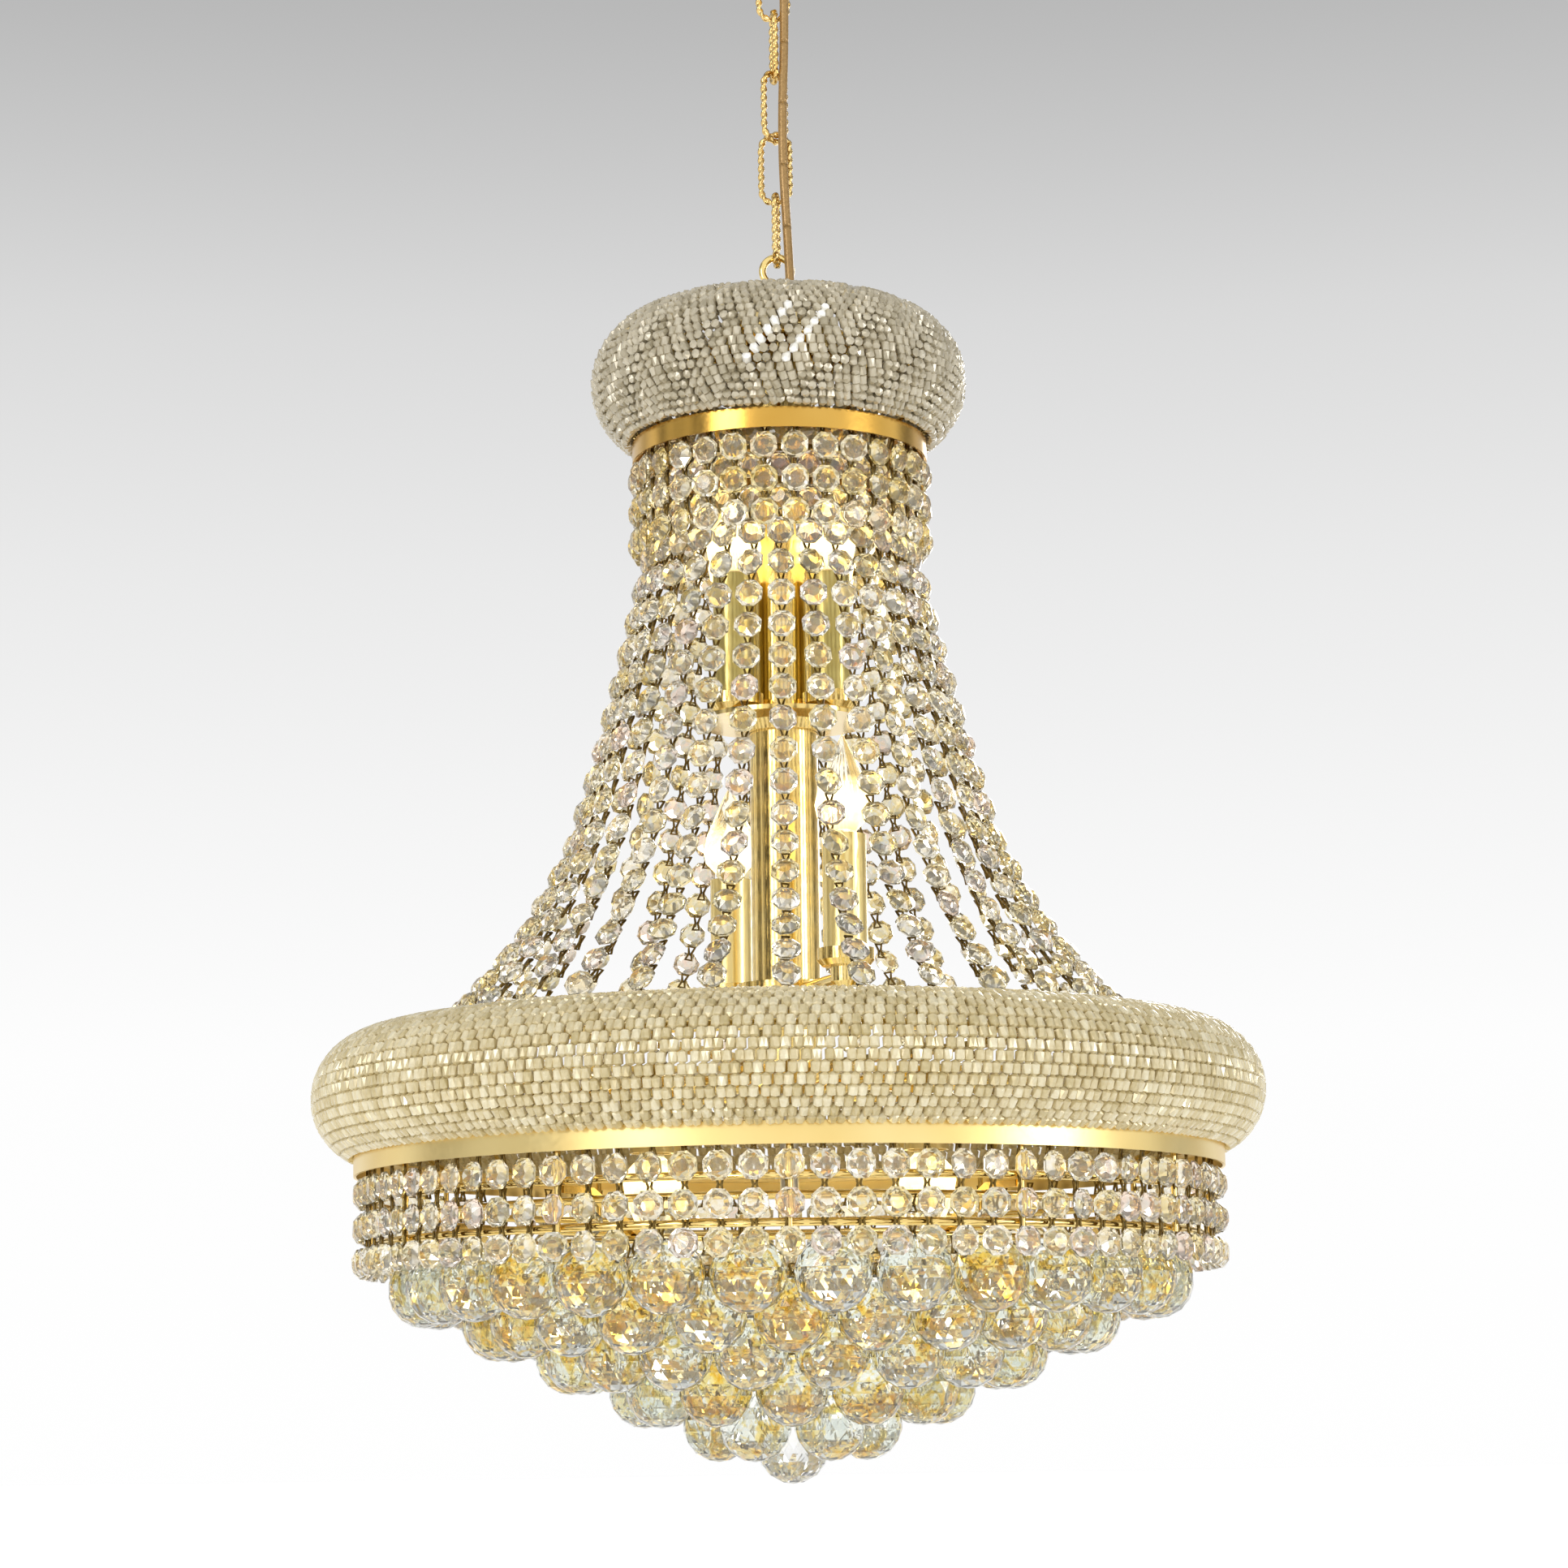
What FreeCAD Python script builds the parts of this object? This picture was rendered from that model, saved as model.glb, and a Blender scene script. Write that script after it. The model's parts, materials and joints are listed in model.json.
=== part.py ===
import FreeCAD, Part
import math
import os
import Sketcher

# Crystal chandelier: a small beaded crown, swags of octagons that flare out to a large beaded
# ring, a basket of octagons and five rings of faceted balls below, hung on an oval link chain.
# Origin: centre of the ceiling face, +Z up, so everything lies below Z = 0. Millimetres.

vector = FreeCAD.Vector
doc = FreeCAD.newDocument("Chandelier")
sheet = doc.addObject("Spreadsheet::Sheet", "Sizes")
parts = []
cells = []


class Size:
    """A length with the sheet expression that works it out."""

    def __init__(self, value, text):
        self.value = value
        self.text = text

    def joined(self, sign, other, value):
        return Size(value, f"({self.text} {sign} {other.text})")

    def __add__(self, other):
        other = size(other)
        return self.joined("+", other, self.value + other.value)

    def __sub__(self, other):
        other = size(other)
        return self.joined("-", other, self.value - other.value)

    def __mul__(self, other):
        other = size(other)
        return self.joined("*", other, self.value * other.value)

    def __truediv__(self, other):
        other = size(other)
        return self.joined("/", other, self.value / other.value)

    def __radd__(self, other):
        return size(other) + self

    def __rsub__(self, other):
        return size(other) - self

    def __rmul__(self, other):
        return size(other) * self

    def __neg__(self):
        return size(0) - self


def size(item):
    """The item as a Size, whether it is one already or a plain number."""
    return item if isinstance(item, Size) else Size(float(item), f"({float(item)})")


def cell(name, value):
    """A driving dimension: one named cell of the sheet."""
    cells.append(name)
    line = len(cells)
    sheet.set(f"A{line}", name)
    sheet.set(f"B{line}", str(value))
    sheet.setAlias(f"B{line}", name)
    return Size(float(value), f"Sizes.{name}")


def bind(item, name, value):
    """Ties a property of an object to a size."""
    item.setExpression(name, size(value).text)


def on_circle(centre, radius, degrees):
    """The point of a circle, given as (x, z), at an angle from the outward direction."""
    angle = math.radians(degrees)
    return centre[0] + radius * round(math.cos(angle), 9), centre[1] + radius * round(math.sin(angle), 9)


# ---------------------------------------------------------------- driving dimensions

# ceiling fixing
canopy_depth = cell("canopy_depth", 32)
canopy_wall = cell("canopy_wall", 1.2)
strap_width = cell("strap_width", 22)
strap_thick = cell("strap_thick", 2)
strap_offset = cell("strap_offset", 8)
slot_spacing = cell("slot_spacing", 79)
slot_length = cell("slot_length", 19)
slot_width = cell("slot_width", 5)
slot_margin = cell("slot_margin", 3)
canopy_room = cell("canopy_room", 11.5)
nipple_radius = cell("nipple_radius", 5)
nipple_bore = cell("nipple_bore", 3.75)
nut_thick = cell("nut_thick", 3.5)
nut_corner = cell("nut_corner", 8.1)
screw_radius = cell("screw_radius", 2)
collar_radius = cell("collar_radius", 13.5)
collar_wall = cell("collar_wall", 2)
collar_length = cell("collar_length", 28)
collar_ring_rim = cell("collar_ring_rim", 6.5)
collar_ring_height = cell("collar_ring_height", 7.8)
thread_play = cell("thread_play", 0.3)
play = cell("play", 0.3)

# suspension
collar_loop_radius = cell("collar_loop_radius", 12.5)
collar_loop_wire = cell("collar_loop_wire", 2.25)
link_length = cell("link_length", 44)
link_wire = cell("link_wire", 2)
link_gap = cell("link_gap", 12)
crown_loop_radius = cell("crown_loop_radius", 10)
crown_loop_wire = cell("crown_loop_wire", 2)
loop_hub_radius = cell("loop_hub_radius", 7)
loop_hub_length = cell("loop_hub_length", 8.3)
cord_radius = cell("cord_radius", 2.5)
lead_radius = cell("lead_radius", 2)

# column
tube_radius = cell("tube_radius", 18.5)
tube_wall = cell("tube_wall", 1.5)
spider_arm_count = cell("spider_arm_count", 6)
rod_radius = cell("rod_radius", 5)

# crown and large ring: radius of the round section and drop below the crown loop
crown_gap = cell("crown_gap", 5.5)
crown_section = cell("crown_section", 40)
crown_drop = cell("crown_drop", 75.8)
ring_radius = cell("ring_radius", 254)
ring_section = cell("ring_section", 36)
ring_drop = cell("ring_drop", 469.3)
wrap_thick = cell("wrap_thick", 6.3)
rib_radius = cell("rib_radius", 1.2)
crown_rib_count = cell("crown_rib_count", 12)
ring_rib_count = cell("ring_rib_count", 24)
top_ring_wire = cell("top_ring_wire", 3)
neck_step = cell("neck_step", 17)
band_step = cell("band_step", 13)
band_height = cell("band_height", 11)
band_wall = cell("band_wall", 1.5)
sheet_wall = cell("sheet_wall", 1.5)

# strands of octagons
strand_thick = cell("strand_thick", 5)
swag_gap = cell("swag_gap", 1.45)
basket_gap = cell("basket_gap", 3.83)
bead_pitch = cell("bead_pitch", 18.1)
short_strand_beads = cell("short_strand_beads", 3)
swag_count = cell("swag_count", 30)
basket_count = cell("basket_count", 84)

# lamps
lamp_count = cell("lamp_count", 4)
middle_lamp_count = cell("middle_lamp_count", 2)
cup_rim = cell("cup_rim", 3.5)
cup_height = cell("cup_height", 9)
cup_wall = cell("cup_wall", 1.5)
sleeve_radius = cell("sleeve_radius", 11.5)
sleeve_wall = cell("sleeve_wall", 1.2)
socket_room = cell("socket_room", 1.3)
socket_wall = cell("socket_wall", 2.2)
bulb_base_length = cell("bulb_base_length", 24)
bulb_radius = cell("bulb_radius", 15)
bulb_length = cell("bulb_length", 55)
arm_radius = cell("arm_radius", 4)
hub_wall = cell("hub_wall", 8)
hub_height = cell("hub_height", 12)
column_gap = cell("column_gap", 2.5)
upper_lamp_drop = cell("upper_lamp_drop", 187.5)
upper_sleeve = cell("upper_sleeve", 73)
curtain_gap = cell("curtain_gap", 12)
middle_lamp_rise = cell("middle_lamp_rise", 61)
middle_sleeve = cell("middle_sleeve", 67)
lower_lamp_inset = cell("lower_lamp_inset", 82)
lower_lamp_drop = cell("lower_lamp_drop", 2)
lower_sleeve = cell("lower_sleeve", 30)

# basket and balls
basket_wire = cell("basket_wire", 2)
basket_inset = cell("basket_inset", 3.5)
lower_ring_drop = cell("lower_ring_drop", 77)
post_radius = cell("post_radius", 1.5)
post_count = cell("post_count", 12)
ball_gap = cell("ball_gap", 0.9)
ball_margin = cell("ball_margin", 24.9)
ball_drop = cell("ball_drop", 184)
first_tier_rise = cell("first_tier_rise", 12)
tier_rise = cell("tier_rise", 17.9)
hanger_drop = cell("hanger_drop", 19)
hanger_wire = cell("hanger_wire", 1)
octagon_radius = cell("octagon_radius", 6.5)
frame_bar = cell("frame_bar", 3.6)
frame_bar_count = cell("frame_bar_count", 6)
doc.recompute()


# ---------------------------------------------------------------- ways to make a piece


def draw(sketch, points, bends=None):
    """A closed outline. bends gives the radius of the arc after a point, positive to the left."""
    bends = bends or {}
    points = [(size(x), size(y)) for x, y in points]
    places = [vector(x.value, y.value, 0) for x, y in points]
    count = len(places)
    first = [2 if i in bends and bends[i].value < 0 else 1 for i in range(count)]
    for i in range(count):
        start = places[i]
        end = places[(i + 1) % count]
        if i in bends:
            sketch.addGeometry(arc_between(start, end, bends[i].value), False)
        else:
            sketch.addGeometry(Part.LineSegment(start, end), False)
    for i in range(count):
        j = (i + 1) % count
        sketch.addConstraint(Sketcher.Constraint("Coincident", i, 3 - first[i], j, first[j]))
    for i, (x, y) in enumerate(points):
        hold(sketch, i, first[i], "x", x)
        hold(sketch, i, first[i], "y", y)
    for i in bends:
        number = sketch.addConstraint(Sketcher.Constraint("Radius", i, abs(bends[i].value)))
        sketch.renameConstraint(number, f"bend{i}")
        bind(sketch, f"Constraints.bend{i}", bends[i] if bends[i].value > 0 else -bends[i])


def hold(sketch, line, end, axis, value):
    """Holds one coordinate of a line's end at a size."""
    if "Sizes" not in value.text and value.value == 0:
        sketch.addConstraint(Sketcher.Constraint("PointOnObject", line, end, -2 if axis == "x" else -1))
        return
    kind = "DistanceX" if axis == "x" else "DistanceY"
    number = sketch.addConstraint(Sketcher.Constraint(kind, -1, 1, line, end, value.value))
    sketch.renameConstraint(number, f"{axis}{line}")
    bind(sketch, f"Constraints.{axis}{line}", value)


def arc_between(start, end, radius):
    """An arc under half a turn from start to end, bulging right for a positive radius."""
    if radius < 0:
        start, end = end, start
    radius = abs(radius)
    chord = end - start
    left = vector(-chord.y, chord.x, 0).normalize()
    centre = (start + end) * 0.5 + left * math.sqrt(radius**2 - (chord.Length / 2) ** 2)
    first = math.atan2(start.y - centre.y, start.x - centre.x)
    last = math.atan2(end.y - centre.y, end.x - centre.x)
    if last < first:
        last += 2 * math.pi
    return Part.ArcOfCircle(Part.Circle(centre, vector(0, 0, 1), radius), first, last)


def wire_ring(label, radius, wire, level):
    """A plain ring of round wire about the chandelier's axis."""
    item = doc.addObject("Part::Torus", label)
    item.Label = label
    bind(item, "Radius1", radius)
    bind(item, "Radius2", wire)
    bind(item, ".Placement.Base.z", level)
    parts.append(item)


class Piece:
    """A sub-part made as one body, at a level on the axis, turned or inverted as a whole."""

    def __init__(self, label, level=0, azimuth=0, inverted=False):
        self.body = doc.addObject("PartDesign::Body", label)
        self.body.Label = label
        self.body.AllowCompound = True
        turn = FreeCAD.Rotation(vector(0, 0, 1), azimuth)
        if inverted:
            half = math.radians(azimuth / 2)
            turn = FreeCAD.Rotation(vector(math.cos(half), math.sin(half), 0), 180)
        self.body.Placement = FreeCAD.Placement(vector(0, 0, 0), turn)
        bind(self.body, ".Placement.Base.z", level)
        parts.append(self.body)

    def origin(self, role):
        return next(item for item in self.body.Origin.OriginFeatures if item.Role == role)

    def add(self, kind, name):
        return self.body.newObject(kind, f"{self.body.Name}_{name}")

    def place(self, item, role, right=0, up=0, out=0):
        """Lays a sketch or solid on an origin plane, moved right, up and out of it."""
        item.AttachmentSupport = [(self.origin(role), "")]
        item.MapMode = "FlatFace"
        bind(item, ".AttachmentOffset.Base.x", right)
        bind(item, ".AttachmentOffset.Base.y", up)
        bind(item, ".AttachmentOffset.Base.z", out)
        return item

    def outline(self, role, points, bends=None, **where):
        sketch = self.place(self.add("Sketcher::SketchObject", "outline"), role, **where)
        draw(sketch, points, bends)
        return sketch

    def disc(self, role, radius, **where):
        sketch = self.place(self.add("Sketcher::SketchObject", "disc"), role, **where)
        sketch.addGeometry(Part.Circle(vector(0, 0, 0), vector(0, 0, 1), size(radius).value), False)
        sketch.addConstraint(Sketcher.Constraint("Coincident", 0, 3, -1, 1))
        number = sketch.addConstraint(Sketcher.Constraint("Radius", 0, size(radius).value))
        sketch.renameConstraint(number, "radius")
        bind(sketch, "Constraints.radius", radius)
        return sketch

    def solid(self, kind, sketch, length, both=False):
        item = self.add(kind, "solid")
        item.Profile = sketch
        bind(item, "Length", length)
        item.SideType = "Symmetric" if both else "One side"
        return item

    def pad(self, sketch, length, both=False):
        return self.solid("PartDesign::Pad", sketch, length, both)

    def cut(self, sketch, length):
        return self.solid("PartDesign::Pocket", sketch, length, both=True)

    def turned(self, points, bends=None, radius=0):
        """Turns an outline of (distance from its own axis, height) about an axis at a radius."""
        sketch = self.outline("XZ_Plane", points, bends, right=radius)
        item = self.add("PartDesign::Revolution", "turned")
        item.Profile = sketch
        item.ReferenceAxis = (sketch, ["V_Axis"])
        item.Angle = 360
        return item

    def loop(self, role, radius, wire, **where):
        """A closed ring of round wire lying in an origin plane, or beside it."""
        item = self.place(self.add("PartDesign::AdditiveTorus", "loop"), role, **where)
        bind(item, "Radius1", radius)
        bind(item, "Radius2", wire)

    def pipe(self, path, edges, section):
        item = self.add("PartDesign::AdditivePipe", "pipe")
        item.Profile = section
        item.Spine = (path, [f"Edge{i + 1}" for i in range(edges)])
        item.Transition = "Right corner"
        return item

    def around(self, item, count):
        """Repeats a feature evenly about the chandelier's axis."""
        ring = self.add("PartDesign::PolarPattern", "around")
        ring.Originals = [item]
        ring.Axis = (self.origin("Z_Axis"), [""])
        ring.Angle = 360
        bind(ring, "Occurrences", count)
        self.body.Tip = ring
        return ring


def box_outline(left, right, low, high):
    return [(left, low), (right, low), (right, high), (left, high)]


# ---------------------------------------------------------------- ceiling fixing

strap_length = slot_spacing + slot_length + slot_margin * 2
canopy_radius = strap_length / 2 + canopy_room
collar_ring_radius = collar_radius + collar_ring_rim
screw_place = -14
strap_top = -strap_offset
strap_bottom = strap_top - strap_thick
nipple_top = strap_top + nut_thick + 1.5
canopy_bottom = -canopy_depth
collar_top = canopy_bottom + 13
collar_bottom = collar_top - collar_length
nipple_bottom = collar_top - 5
canopy_hole = collar_radius + thread_play


def make_crossbar():
    """Steel strap with a lowered middle, two screw slots, and holes for the nipple and screw."""
    piece = Piece("ceiling_crossbar")
    half = strap_length / 2
    low = screw_radius * 4 - screw_place
    flat = low + 5
    points = [(-half, 0), (-half, -strap_thick), (-flat, -strap_thick), (-low, strap_bottom)]
    points += [(low, strap_bottom), (flat, -strap_thick), (half, -strap_thick), (half, 0)]
    points += [(flat + 0.5, 0), (low + 0.5, strap_top), (-low - 0.5, strap_top), (-flat - 0.5, 0)]
    piece.pad(piece.outline("XZ_Plane", points), strap_width, both=True)
    for side in (-1, 1):
        middle = slot_spacing / 2 * side
        reach = (slot_length - slot_width) / 2
        narrow = slot_width / 2
        slot = [(middle - reach, -narrow), (middle + reach, -narrow)]
        slot += [(middle + reach + narrow, 0), (middle + reach, narrow)]
        slot += [(middle - reach, narrow), (middle - reach - narrow, 0)]
        bends = {1: narrow, 2: narrow, 4: narrow, 5: narrow}
        piece.cut(piece.outline("XY_Plane", slot, bends), strap_offset * 4)
    piece.cut(piece.disc("XY_Plane", nipple_radius + thread_play), strap_offset * 4)
    piece.cut(piece.disc("XY_Plane", screw_radius + thread_play, right=screw_place), strap_offset * 4)


def make_nipple():
    """Hollow threaded tube that carries the chandelier and lets the lamp cord through."""
    piece = Piece("threaded_nipple", nipple_bottom)
    piece.turned(box_outline(nipple_bore, nipple_radius, 0, nipple_top - nipple_bottom))


def make_locknuts():
    """Two hexagon nuts that clamp the nipple to the crossbar."""
    piece = Piece("nipple_locknuts")
    corners = []
    for i in range(6):
        corners.append(on_circle((size(0), size(0)), nut_corner, 60 * i + 30))
    for level in (strap_top, strap_bottom - nut_thick):
        piece.pad(piece.outline("XY_Plane", corners, out=level), nut_thick)
    piece.cut(piece.disc("XY_Plane", nipple_radius + thread_play), strap_offset * 4)


def make_ground_screw():
    """Pan head earth screw in the crossbar."""
    piece = Piece("ground_screw", strap_top)
    low = -strap_thick * 4
    points = [(0, low), (screw_radius, low), (screw_radius, 0), (screw_radius * 2, 0)]
    points += [(screw_radius * 2, 1.4), (screw_radius, 2.2), (0, 2.2)]
    piece.turned(points, radius=screw_place)


def make_canopy():
    """Spun cup that covers the ceiling box, with the hole for the collar in its bottom."""
    piece = Piece("canopy", canopy_bottom)
    shoulder = canopy_radius - 25
    curve = size(30)
    outer = [(canopy_hole, 0), (shoulder, 0), (canopy_radius - 2, canopy_depth - 8)]
    outer += [(canopy_radius, canopy_depth - 5), (canopy_radius, canopy_depth)]
    inner = [(canopy_radius - canopy_wall, canopy_depth), (canopy_radius - canopy_wall, canopy_depth - 4.6)]
    inner += [(canopy_radius - canopy_wall - 2, canopy_depth - 7.4), (shoulder, canopy_wall)]
    inner += [(canopy_hole, canopy_wall)]
    piece.turned(outer + inner, {1: curve, 7: -curve})


def make_collar_ring():
    """Knurled ring nut that holds the canopy up against the ceiling."""
    piece = Piece("collar_ring", canopy_bottom - play - collar_ring_height)
    top = collar_ring_height
    points = [(canopy_hole, 0), (collar_ring_radius - 3, 0), (collar_ring_radius, 2.5)]
    points += [(collar_ring_radius, top), (canopy_hole, top)]
    piece.turned(points)


def make_collar_loop():
    """Threaded collar on the nipple, hollow for the cord, with the loop that the chain hangs on."""
    piece = Piece("collar_loop", collar_bottom)
    room = collar_radius - collar_wall
    points = [(nipple_radius + thread_play, collar_length), (nipple_radius + thread_play, collar_length - 7)]
    points += [(room, collar_length - 7), (room, 3), (0, 3), (0, 0), (collar_radius - 1, 0)]
    points += [(collar_radius, 1), (collar_radius, collar_length)]
    piece.turned(points)
    centre = collar_loop_radius - collar_loop_wire
    piece.loop("YZ_Plane", centre, collar_loop_wire, up=1 - collar_loop_radius)
    piece.cut(piece.disc("XY_Plane", cord_radius + 1.3, right=4.4, up=-4.2, out=3), 7)


# ---------------------------------------------------------------- chain, cord and crown loop

chain_turns = [85, -9, 43, 96, 6]
hook_level = collar_bottom + 1 - collar_loop_radius * 2 + collar_loop_wire * 2
chain_top = hook_level + play + link_wire * 2
link_width = link_wire * 4 + link_gap
link_pitch = link_length - link_wire * 4 - play
lowest_hook = chain_top - link_pitch * (len(chain_turns) - 1) - link_length + link_wire * 2
crown_loop_top = lowest_hook + play + crown_loop_wire * 2

# lamp cord: beside the rod in the nipple, out of the collar, down beside the chain and
# through the crown cap, as points chosen by hand
cord_points = [
    (0, 0, -6),
    (0, 0, -29),
    (6.0, -5.8, -52),
    (6.2, -5.2, -88),
    (5.8, -5.0, -122),
    (4.3, -6.2, -158),
    (4.2, -6.5, -192),
    (5.8, -5.6, -224),
    (7.2, -7.0, -256),
    (8.0, -7.8, -286),
]


def make_link(number, level, turn):
    """Oval chain link of round wire, standing in an upright plane."""
    piece = Piece(f"chain_link_{number}", level, turn)
    bend = link_width / 2 - link_wire
    reach = link_length / 2 - link_wire - bend
    path = piece.place(piece.add("Sketcher::SketchObject", "path"), "XZ_Plane")
    points = [(bend, -reach), (bend, reach), (0, reach + bend), (-bend, reach)]
    points += [(-bend, -reach), (0, -reach - bend)]
    draw(path, points, {1: bend, 2: bend, 4: bend, 5: bend})
    section = piece.disc("XY_Plane", link_wire, right=bend, out=-reach)
    piece.pipe(path, len(points), section)


def make_cord():
    """Round cord on straight runs joined by tangent arcs as large as the runs allow."""
    points = [vector(*point) for point in cord_points]
    edges = []
    start = points[0]
    for before, corner, after in zip(points, points[1:], points[2:]):
        into = corner - before
        onward = after - corner
        turn = into.getAngle(onward)
        reach = 0.45 * min(into.Length, onward.Length)
        print("cord arc radius", round(reach / math.tan(turn / 2), 1))
        first = corner - into.normalize() * reach
        last = corner + onward.normalize() * reach
        bisector = (onward - into).normalize()
        radius = reach / math.tan(turn / 2)
        middle = corner + bisector * (radius / math.cos(turn / 2) - radius)
        edges.append(Part.LineSegment(start, first).toShape())
        edges.append(Part.Arc(first, middle, last).toShape())
        start = last
    edges.append(Part.LineSegment(start, points[-1]).toShape())
    path = Part.Wire(edges)
    radius = cord_radius.value
    section = Part.Wire(Part.makeCircle(radius, points[0], points[1] - points[0]))
    shape = path.makePipeShell([section], True, False)
    item = doc.addObject("Part::Feature", "power_cord")
    item.Label = "power_cord"
    item.Shape = shape
    item.Placement = FreeCAD.Placement()
    expected = math.pi * radius**2 * path.Length
    print("cord length", round(path.Length, 1), "volume", round(shape.Volume), "of", round(expected))
    parts.append(item)


def make_crown_loop():
    """Ring on a threaded hub that joins the chain to the centre rod."""
    piece = Piece("crown_loop", crown_loop_top)
    piece.loop("XZ_Plane", crown_loop_radius - crown_loop_wire, crown_loop_wire, up=-crown_loop_radius)
    high = 1 - crown_loop_radius * 2
    low = high - loop_hub_length
    thread = rod_radius + thread_play
    points = [(0, high), (0, high - 2.5), (thread, high - 2.5), (thread, low), (loop_hub_radius, low)]
    points += [(loop_hub_radius, high - 1), (loop_hub_radius - 1.5, high)]
    piece.turned(points)


# ---------------------------------------------------------------- crown

cap_top = crown_loop_top + 1 - crown_loop_radius * 2 - loop_hub_length
rod_top = cap_top + loop_hub_length - 2.5 - play
crown_centre = (tube_radius + crown_gap + crown_section, crown_loop_top - crown_drop)
crown_rib_reach = crown_section - wrap_thick - play - rib_radius
crown_ring_place = on_circle(crown_centre, crown_rib_reach + rib_radius + play + top_ring_wire, 140)
neck_top = crown_centre[1] - crown_rib_reach - rib_radius - play
neck_radius = crown_centre[0] + neck_step
neck_spider_top = neck_top - sheet_wall

cap_rim = crown_ring_place[1] + top_ring_wire + play - cap_top
cap_rim_radius = crown_ring_place[0] + 1
cap_hub = size(12)
cap_slope = (cap_rim + sheet_wall) / (cap_rim_radius - sheet_wall - cap_hub)
tube_top = cap_top - sheet_wall + (tube_radius - cap_hub) * cap_slope - play


def make_crown_cap():
    """Cone that closes the crown's top, with a hole for the cord beside the hub."""
    piece = Piece("crown_cap", cap_top)
    bore = rod_radius + thread_play
    points = [(bore, 0), (bore, -sheet_wall), (cap_hub, -sheet_wall)]
    points += [(cap_rim_radius - sheet_wall, cap_rim), (cap_rim_radius, cap_rim)]
    points += [(cap_rim_radius, cap_rim + sheet_wall), (cap_hub + 0.5, 0)]
    piece.turned(points)
    piece.cut(piece.disc("XY_Plane", cord_radius + 0.8, right=7.6, up=-7.4), 30)


def make_ribs(label, centre, reach, count):
    """Bent wires that give a beaded ring its round section."""
    piece = Piece(label, centre[1])
    start = -90
    end = 160
    item = piece.add("PartDesign::AdditiveTorus", "rib")
    item.AttachmentSupport = [(piece.origin("XZ_Plane"), "")]
    item.MapMode = "FlatFace"
    item.AttachmentOffset = FreeCAD.Placement(vector(0, 0, 0), FreeCAD.Rotation(vector(0, 0, 1), start))
    bind(item, ".AttachmentOffset.Base.x", centre[0])
    bind(item, "Radius1", reach)
    bind(item, "Radius2", rib_radius)
    item.Angle3 = end - start
    piece.around(item, count)


def make_wrap(label, centre, section, low, high):
    """Closed shell that the wound strings of small beads fill, between two angles."""
    piece = Piece(label, centre[1])
    hub = (centre[0], size(0))
    inner = section - wrap_thick
    middle = (low + high) / 2
    points = [on_circle(hub, section, angle) for angle in (low, middle, high)]
    points += [on_circle(hub, inner, angle) for angle in (high, middle, low)]
    piece.turned(points, {0: section, 1: section, 3: -inner, 4: -inner})


def make_edge_ring(label, level, radius, inner):
    """Gold band with a flange at its top that the ribs stand on and the strands hang from."""
    piece = Piece(label, level)
    inside = radius - band_wall
    points = [(inner, 0), (inner, -sheet_wall), (inside, -sheet_wall), (inside, -band_height)]
    points += [(radius, -band_height), (radius, 0)]
    piece.turned(points)


def make_spider(label, level, reach, depth, bar_width, azimuth=0):
    """Hub on the central tube with flat arms to a ring."""
    piece = Piece(label, level, azimuth)
    bore = tube_radius + thread_play
    piece.turned(box_outline(bore, bore + hub_wall, -depth, 0))
    start = bore + 3
    arm = piece.pad(piece.outline("YZ_Plane", box_outline(-bar_width / 2, bar_width / 2, -3, 0), out=start),
                    reach - start)
    piece.around(arm, spider_arm_count)


# ---------------------------------------------------------------- strands of octagons


def strand_width_at(radius, count, gap):
    """Width that leaves a gap between neighbouring strands at their inner faces."""
    return (radius - strand_thick / 2) * (2 * math.pi) / count - gap


swag_start = (neck_radius - 9.5, neck_top - sheet_wall - play)
neck_width = strand_width_at(swag_start[0], swag_count, swag_gap)
ring_centre = (ring_radius - ring_section, crown_loop_top - ring_drop)
ring_rib_reach = ring_section - wrap_thick - play - rib_radius
ring_top_place = on_circle(ring_centre, ring_rib_reach + rib_radius + play + top_ring_wire, 142)
swag_end = (ring_top_place[0] - 1.7, ring_top_place[1] + top_ring_wire + play)
band_top = ring_centre[1] - ring_rib_reach - rib_radius - play
band_radius = ring_centre[0] + band_step
basket_radius = band_radius - basket_inset
basket_width = strand_width_at(basket_radius, basket_count, basket_gap)

# the swag's curve: how far out and how far down it is, from its top to its lower end
swag_curve = [(0, 0), (0.013, 0.192), (0.042, 0.228), (0.118, 0.347), (0.256, 0.532),
              (0.374, 0.669), (0.559, 0.795), (0.756, 0.882), (0.92, 0.944), (1, 1)]


def swag_radius_at(level):
    """How far out the swag's curve is at a level, on the straight run that holds the level."""
    fall = swag_end[1] - swag_start[1]
    share = (level - swag_start[1]) / fall
    for (x0, y0), (x1, y1) in zip(swag_curve, swag_curve[1:]):
        if share.value <= y1:
            break
    return swag_start[0] + (swag_end[0] - swag_start[0]) * (x0 + (share - y0) * ((x1 - x0) / (y1 - y0)))


def make_straight_strands(label, level, radius, count, width):
    """Short upright strands, each one strip as wide and thick as its octagons."""
    piece = Piece(label, level)
    half = strand_thick / 2
    points = box_outline(radius - half, radius + half, -width / 2, width / 2)
    length = bead_pitch * short_strand_beads
    strand = piece.pad(piece.outline("XY_Plane", points, out=-length), length)
    piece.around(strand, count)


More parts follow.
